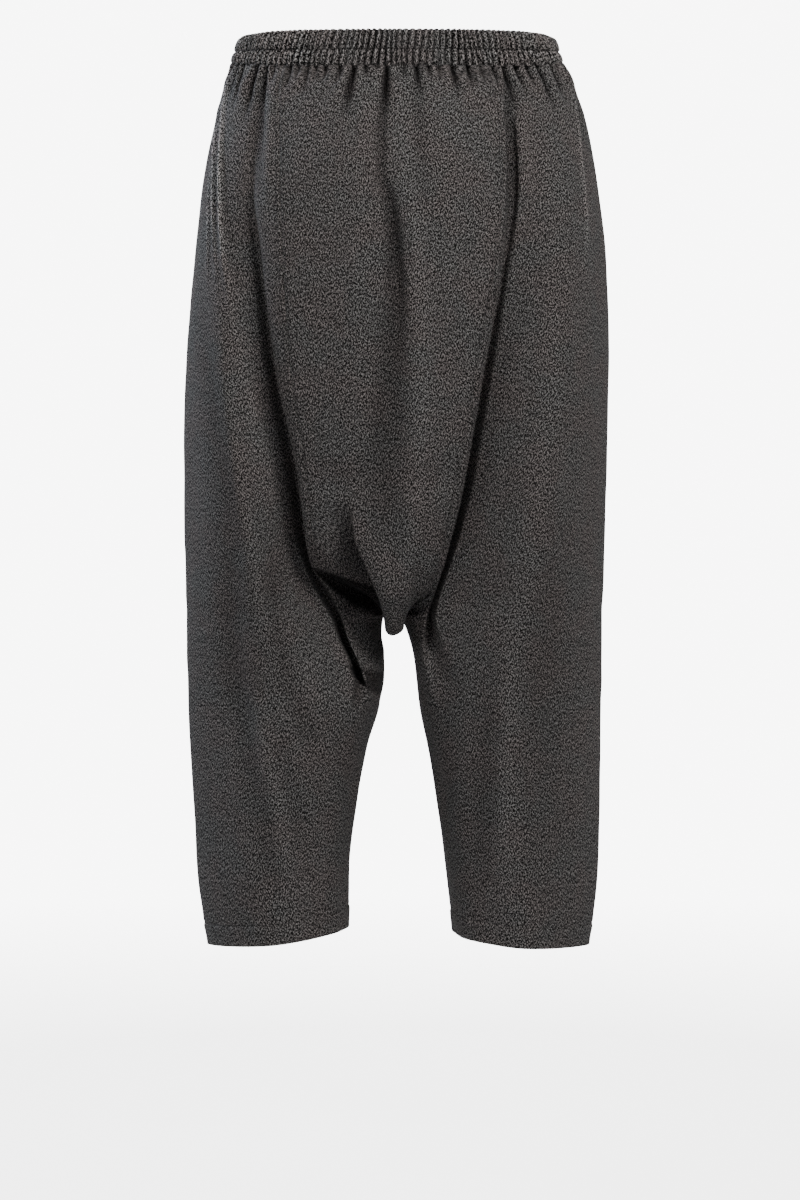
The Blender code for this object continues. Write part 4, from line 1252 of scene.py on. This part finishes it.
def cloth_material(name):
    """Charcoal melange: a crepe weave of dark ground and lighter flecks."""
    material, tree, shader = new_material(name)
    uv = tree.nodes.new("ShaderNodeUVMap")
    uv.uv_map = "cloth"
    coords = uv.outputs["UV"]
    one, two, three = (fleck_noise(tree, coords, *values) for values in WEAVE)
    coarse = maths(tree, "MULTIPLY", maths(tree, "ADD", one, two), LONG_FLECKS)
    level = maths(tree, "ADD", coarse, maths(tree, "MULTIPLY", three, SHORT_FLECKS))
    dark, middling, light = zip(YARN_STOPS, (DARK_YARN, MID_YARN, LIGHT_YARN))
    patches = fleck_noise(tree, coords, *PATCHES)
    tint = ramp(tree, patches, *zip(TINT_STOPS, (COOL_TINT, WARM_TINT)))
    yarn = multiplied(tree, ramp(tree, level, dark, light, middling), tint)
    # The base colour is multiplied by the painted light and shade stored on each point
    painted_light_share = tree.nodes.new("ShaderNodeAttribute")
    painted_light_share.attribute_name = PAINTED_LIGHT_NAME
    tree.links.new(multiplied(tree, yarn, painted_light_share.outputs["Fac"]), shader.inputs["Base Color"])
    bump = node(tree, "ShaderNodeBump", WEAVE_BUMP, {"Height": level})
    tree.links.new(bump.outputs["Normal"], shader.inputs["Normal"])
    rough = maths(tree, "ADD", maths(tree, "MULTIPLY", level, ROUGH_FALL), 1.0, True)
    tree.links.new(rough, shader.inputs["Roughness"])
    set_inputs(shader, CLOTH_GLOSS)
    return material


def noisy_material(name, scale, first, second, roughness):
    """Two near colours spread by noise."""
    material, tree, shader = new_material(name, roughness)
    coords = tree.nodes.new("ShaderNodeTexCoord").outputs["Object"]
    noise = node(tree, "ShaderNodeTexNoise", {"Scale": scale}, {"Vector": coords})
    colour = ramp(tree, noise.outputs["Fac"], (0.0, first), (1.0, second))
    tree.links.new(colour, shader.inputs["Base Color"])
    return material, tree, shader, coords


def thread_material():
    """Matt black sewing thread with a fine twist."""
    return noisy_material("black_thread", 2400.0, THREAD_DARK, THREAD_LIGHT, 0.7)[0]


def floor_material():
    """Pale matt floor that thins out into the pale surroundings."""
    material, tree, shader, coords = noisy_material("pale_floor", 3.0, FLOOR_DARK, FLOOR_LIGHT, 0.6)
    reach = {"Scale": (1.0 / FLOOR_REACH, 1.0 / FLOOR_REACH, 1.0)}
    spread = node(tree, "ShaderNodeMapping", reach, {"Vector": coords})
    ring = node(tree, "ShaderNodeTexGradient", {}, {"Vector": spread.outputs["Vector"]})
    ring.gradient_type = "SPHERICAL"
    fade = maths(tree, "MULTIPLY", ring.outputs["Fac"], 1.6, True)
    tree.links.new(maths(tree, "MULTIPLY", fade, FLOOR_SHOWS), shader.inputs["Alpha"])
    return material


# ---------------- camera, floor and light
PIXEL = 0.000975         # metres in a pixel of the 800 x 1200 photograph, at the trousers' middle
CENTRE_COLUMN = 395.0    # photograph column of the garment's middle
WAIST_ROW = 50.0         # photograph row of the origin
HORIZON_ROW = 330.0      # photograph row at the camera's height
CAMERA_DISTANCE = 4.3
FRAME_WIDE, FRAME_HIGH = 800.0, 1200.0
FLOOR_LEVEL = -1.07
FLOOR_REACH = 1.9
SENSOR = 36.0
ROOM_LIGHT = 0.21
BACKDROP_LIGHT = 8.0
# name, place, target, size, power, colour
LIGHTS = (
    ("key", (-1.1, 1.85, 1.45), (0.0, 0.0, -0.18), (0.8, 0.8), 37.0, (1.0, 0.97, 0.95)),
    ("fill", (1.7, 2.1, 1.0), (0.0, 0.0, -0.2), (1.0, 1.6), 15.0, (1.0, 1.0, 1.0)),
    ("rim", (1.9, -1.1, 0.4), (0.1, 0.0, -0.3), (0.4, 2.0), 9.0, (0.82, 0.90, 1.0)),
    ("rim_hip", (0.95, -0.25, 0.35), (0.18, 0.05, -0.12), (0.12, 0.5), 6.0, (0.80, 0.88, 1.0)),
    ("rim_right", (-1.9, -0.9, 0.4), (-0.1, 0.0, -0.3), (0.4, 2.0), 7.0, (1.0, 1.0, 1.0)),
    ("front", (0.5, -2.6, 0.9), (0.0, 0.0, -0.3), (1.0, 1.0), 36.0, (1.0, 1.0, 1.0)),
)


def place_camera():
    data = bpy.data.cameras.new("camera")
    camera = link("camera", data)
    x = (CENTRE_COLUMN - FRAME_WIDE / 2.0) * PIXEL
    camera.location = (x, CAMERA_DISTANCE, (WAIST_ROW - HORIZON_ROW) * PIXEL)
    fall = (HORIZON_ROW - FRAME_HIGH / 2.0) * PIXEL
    camera.rotation_euler = (math.pi / 2.0 + math.atan2(fall, CAMERA_DISTANCE), 0.0, math.pi)
    data.sensor_fit = "VERTICAL"
    data.sensor_height = SENSOR
    data.lens = SENSOR * math.hypot(CAMERA_DISTANCE, fall) / (FRAME_HIGH * PIXEL)
    bpy.context.scene.camera = camera


def area_light(name, place, target, size, power, colour):
    data = bpy.data.lights.new(name, "AREA")
    data.shape = "RECTANGLE"
    data.size, data.size_y = size
    data.energy = power
    data.color = colour
    lamp = link(name, data)
    lamp.location = place
    way = np.array(target) - np.array(place)
    lamp.rotation_euler = (math.atan2(math.hypot(way[0], way[1]), -way[2]), 0.0,
                           math.atan2(way[1], way[0]) - math.pi / 2.0)


def background(nodes, item, strength):
    item.inputs["Color"].default_value = (1.0, 1.0, 1.0, 1.0)
    item.inputs["Strength"].default_value = strength
    return item.outputs["Background"]


def build_stage():
    mesh = bpy.data.meshes.new("floor")
    corners = ((-1, -1), (1, -1), (1, 1), (-1, 1))
    corners = [(x * FLOOR_REACH, y * FLOOR_REACH, 0.0) for x, y in corners]
    mesh.from_pydata(corners, [], [(0, 1, 2, 3)])
    floor = link("floor", mesh)
    floor.location = (0.0, 0.0, FLOOR_LEVEL)
    mesh.materials.append(floor_material())
    world = bpy.data.worlds.new("studio")
    bpy.context.scene.world = world
    world.use_nodes = True
    nodes, links = world.node_tree.nodes, world.node_tree.links
    ray = nodes.new("ShaderNodeLightPath")
    mix = nodes.new("ShaderNodeMixShader")
    links.new(ray.outputs["Is Camera Ray"], mix.inputs["Fac"])
    links.new(background(nodes, nodes["Background"], ROOM_LIGHT), mix.inputs[1])
    links.new(background(nodes, nodes.new("ShaderNodeBackground"), BACKDROP_LIGHT), mix.inputs[2])
    links.new(mix.outputs["Shader"], nodes["World Output"].inputs["Surface"])
    for values in LIGHTS:
        area_light(*values)


# ---------------- assembly
def finish_piece(item, slot, material, *nodes):
    item.data.materials.append(material)
    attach(item, "root")
    if nodes:
        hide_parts(*nodes)
    return item


def declare_sheet(points):
    """Measures a panel's flat size, its greatest width and length along the cloth, and keeps nothing
    of it.
    """
    across = np.linalg.norm(np.diff(points, axis=1), axis=2)
    down = np.linalg.norm(np.diff(points, axis=0), axis=2)
    longest = (float(np.max(np.sum(steps, axis=axis))) for steps, axis in ((across, 1), (down, 0)))
    flat = tuple(round(length * MM, 3) for length in longest)


def main():
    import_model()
    place_camera()
    build_stage()
    cloth = cloth_material("melange_cloth")
    band_cloth = cloth_material("melange_casing")
    thread = thread_material()

    drops = np.array(all_rows())
    top_rows = np.flatnonzero(drops <= TOPSTITCH_END)
    hem_row = int(np.argmin(np.abs(HEM_DROP - drops - HEM_HEIGHT)))

    def sew(name, path, out, slot=CLOTH_SLOT):
        return finish_piece(stitches(name, path, out), slot, thread)

    points, out, painted_light = centre_grid()
    piece = shell("back_centre_shell", points, out, painted_light, True)
    finish_piece(piece, CLOTH_SLOT, cloth, "back_centre")
    sewn = [sew("topstitch_centre_" + side, *inset_path(points, out, edge, top_rows))
            for side, edge in (("left", "first"), ("right", "last"))]
    declare_sheet(points)

    for side in SIGN:
        for part, first, last in (("back", SEAM, SIDE), ("front", SIDE, LAST)):
            points, out, painted_light = leg_grid(side, first, last)
            name = part + "_" + side
            piece = shell(name + "_shell", points, out, painted_light, side == "right")
            finish_piece(piece, CLOTH_SLOT, cloth, name)
            sewn = [sew("hem_stitch_" + name, points[hem_row], out[hem_row])]
            if part == "back":
                sewn.append(sew("topstitch_" + side, *inset_path(points, out, "first", top_rows)))
            declare_sheet(points)

    band, points = build_waistband()
    finish_piece(band, BAND_SLOT, band_cloth, "waistband")
    sewn = [finish_piece(band_stitches(*values), BAND_SLOT, thread) for values in BAND_STITCHES]
    declare_sheet(points.transpose(1, 0, 2))


main()
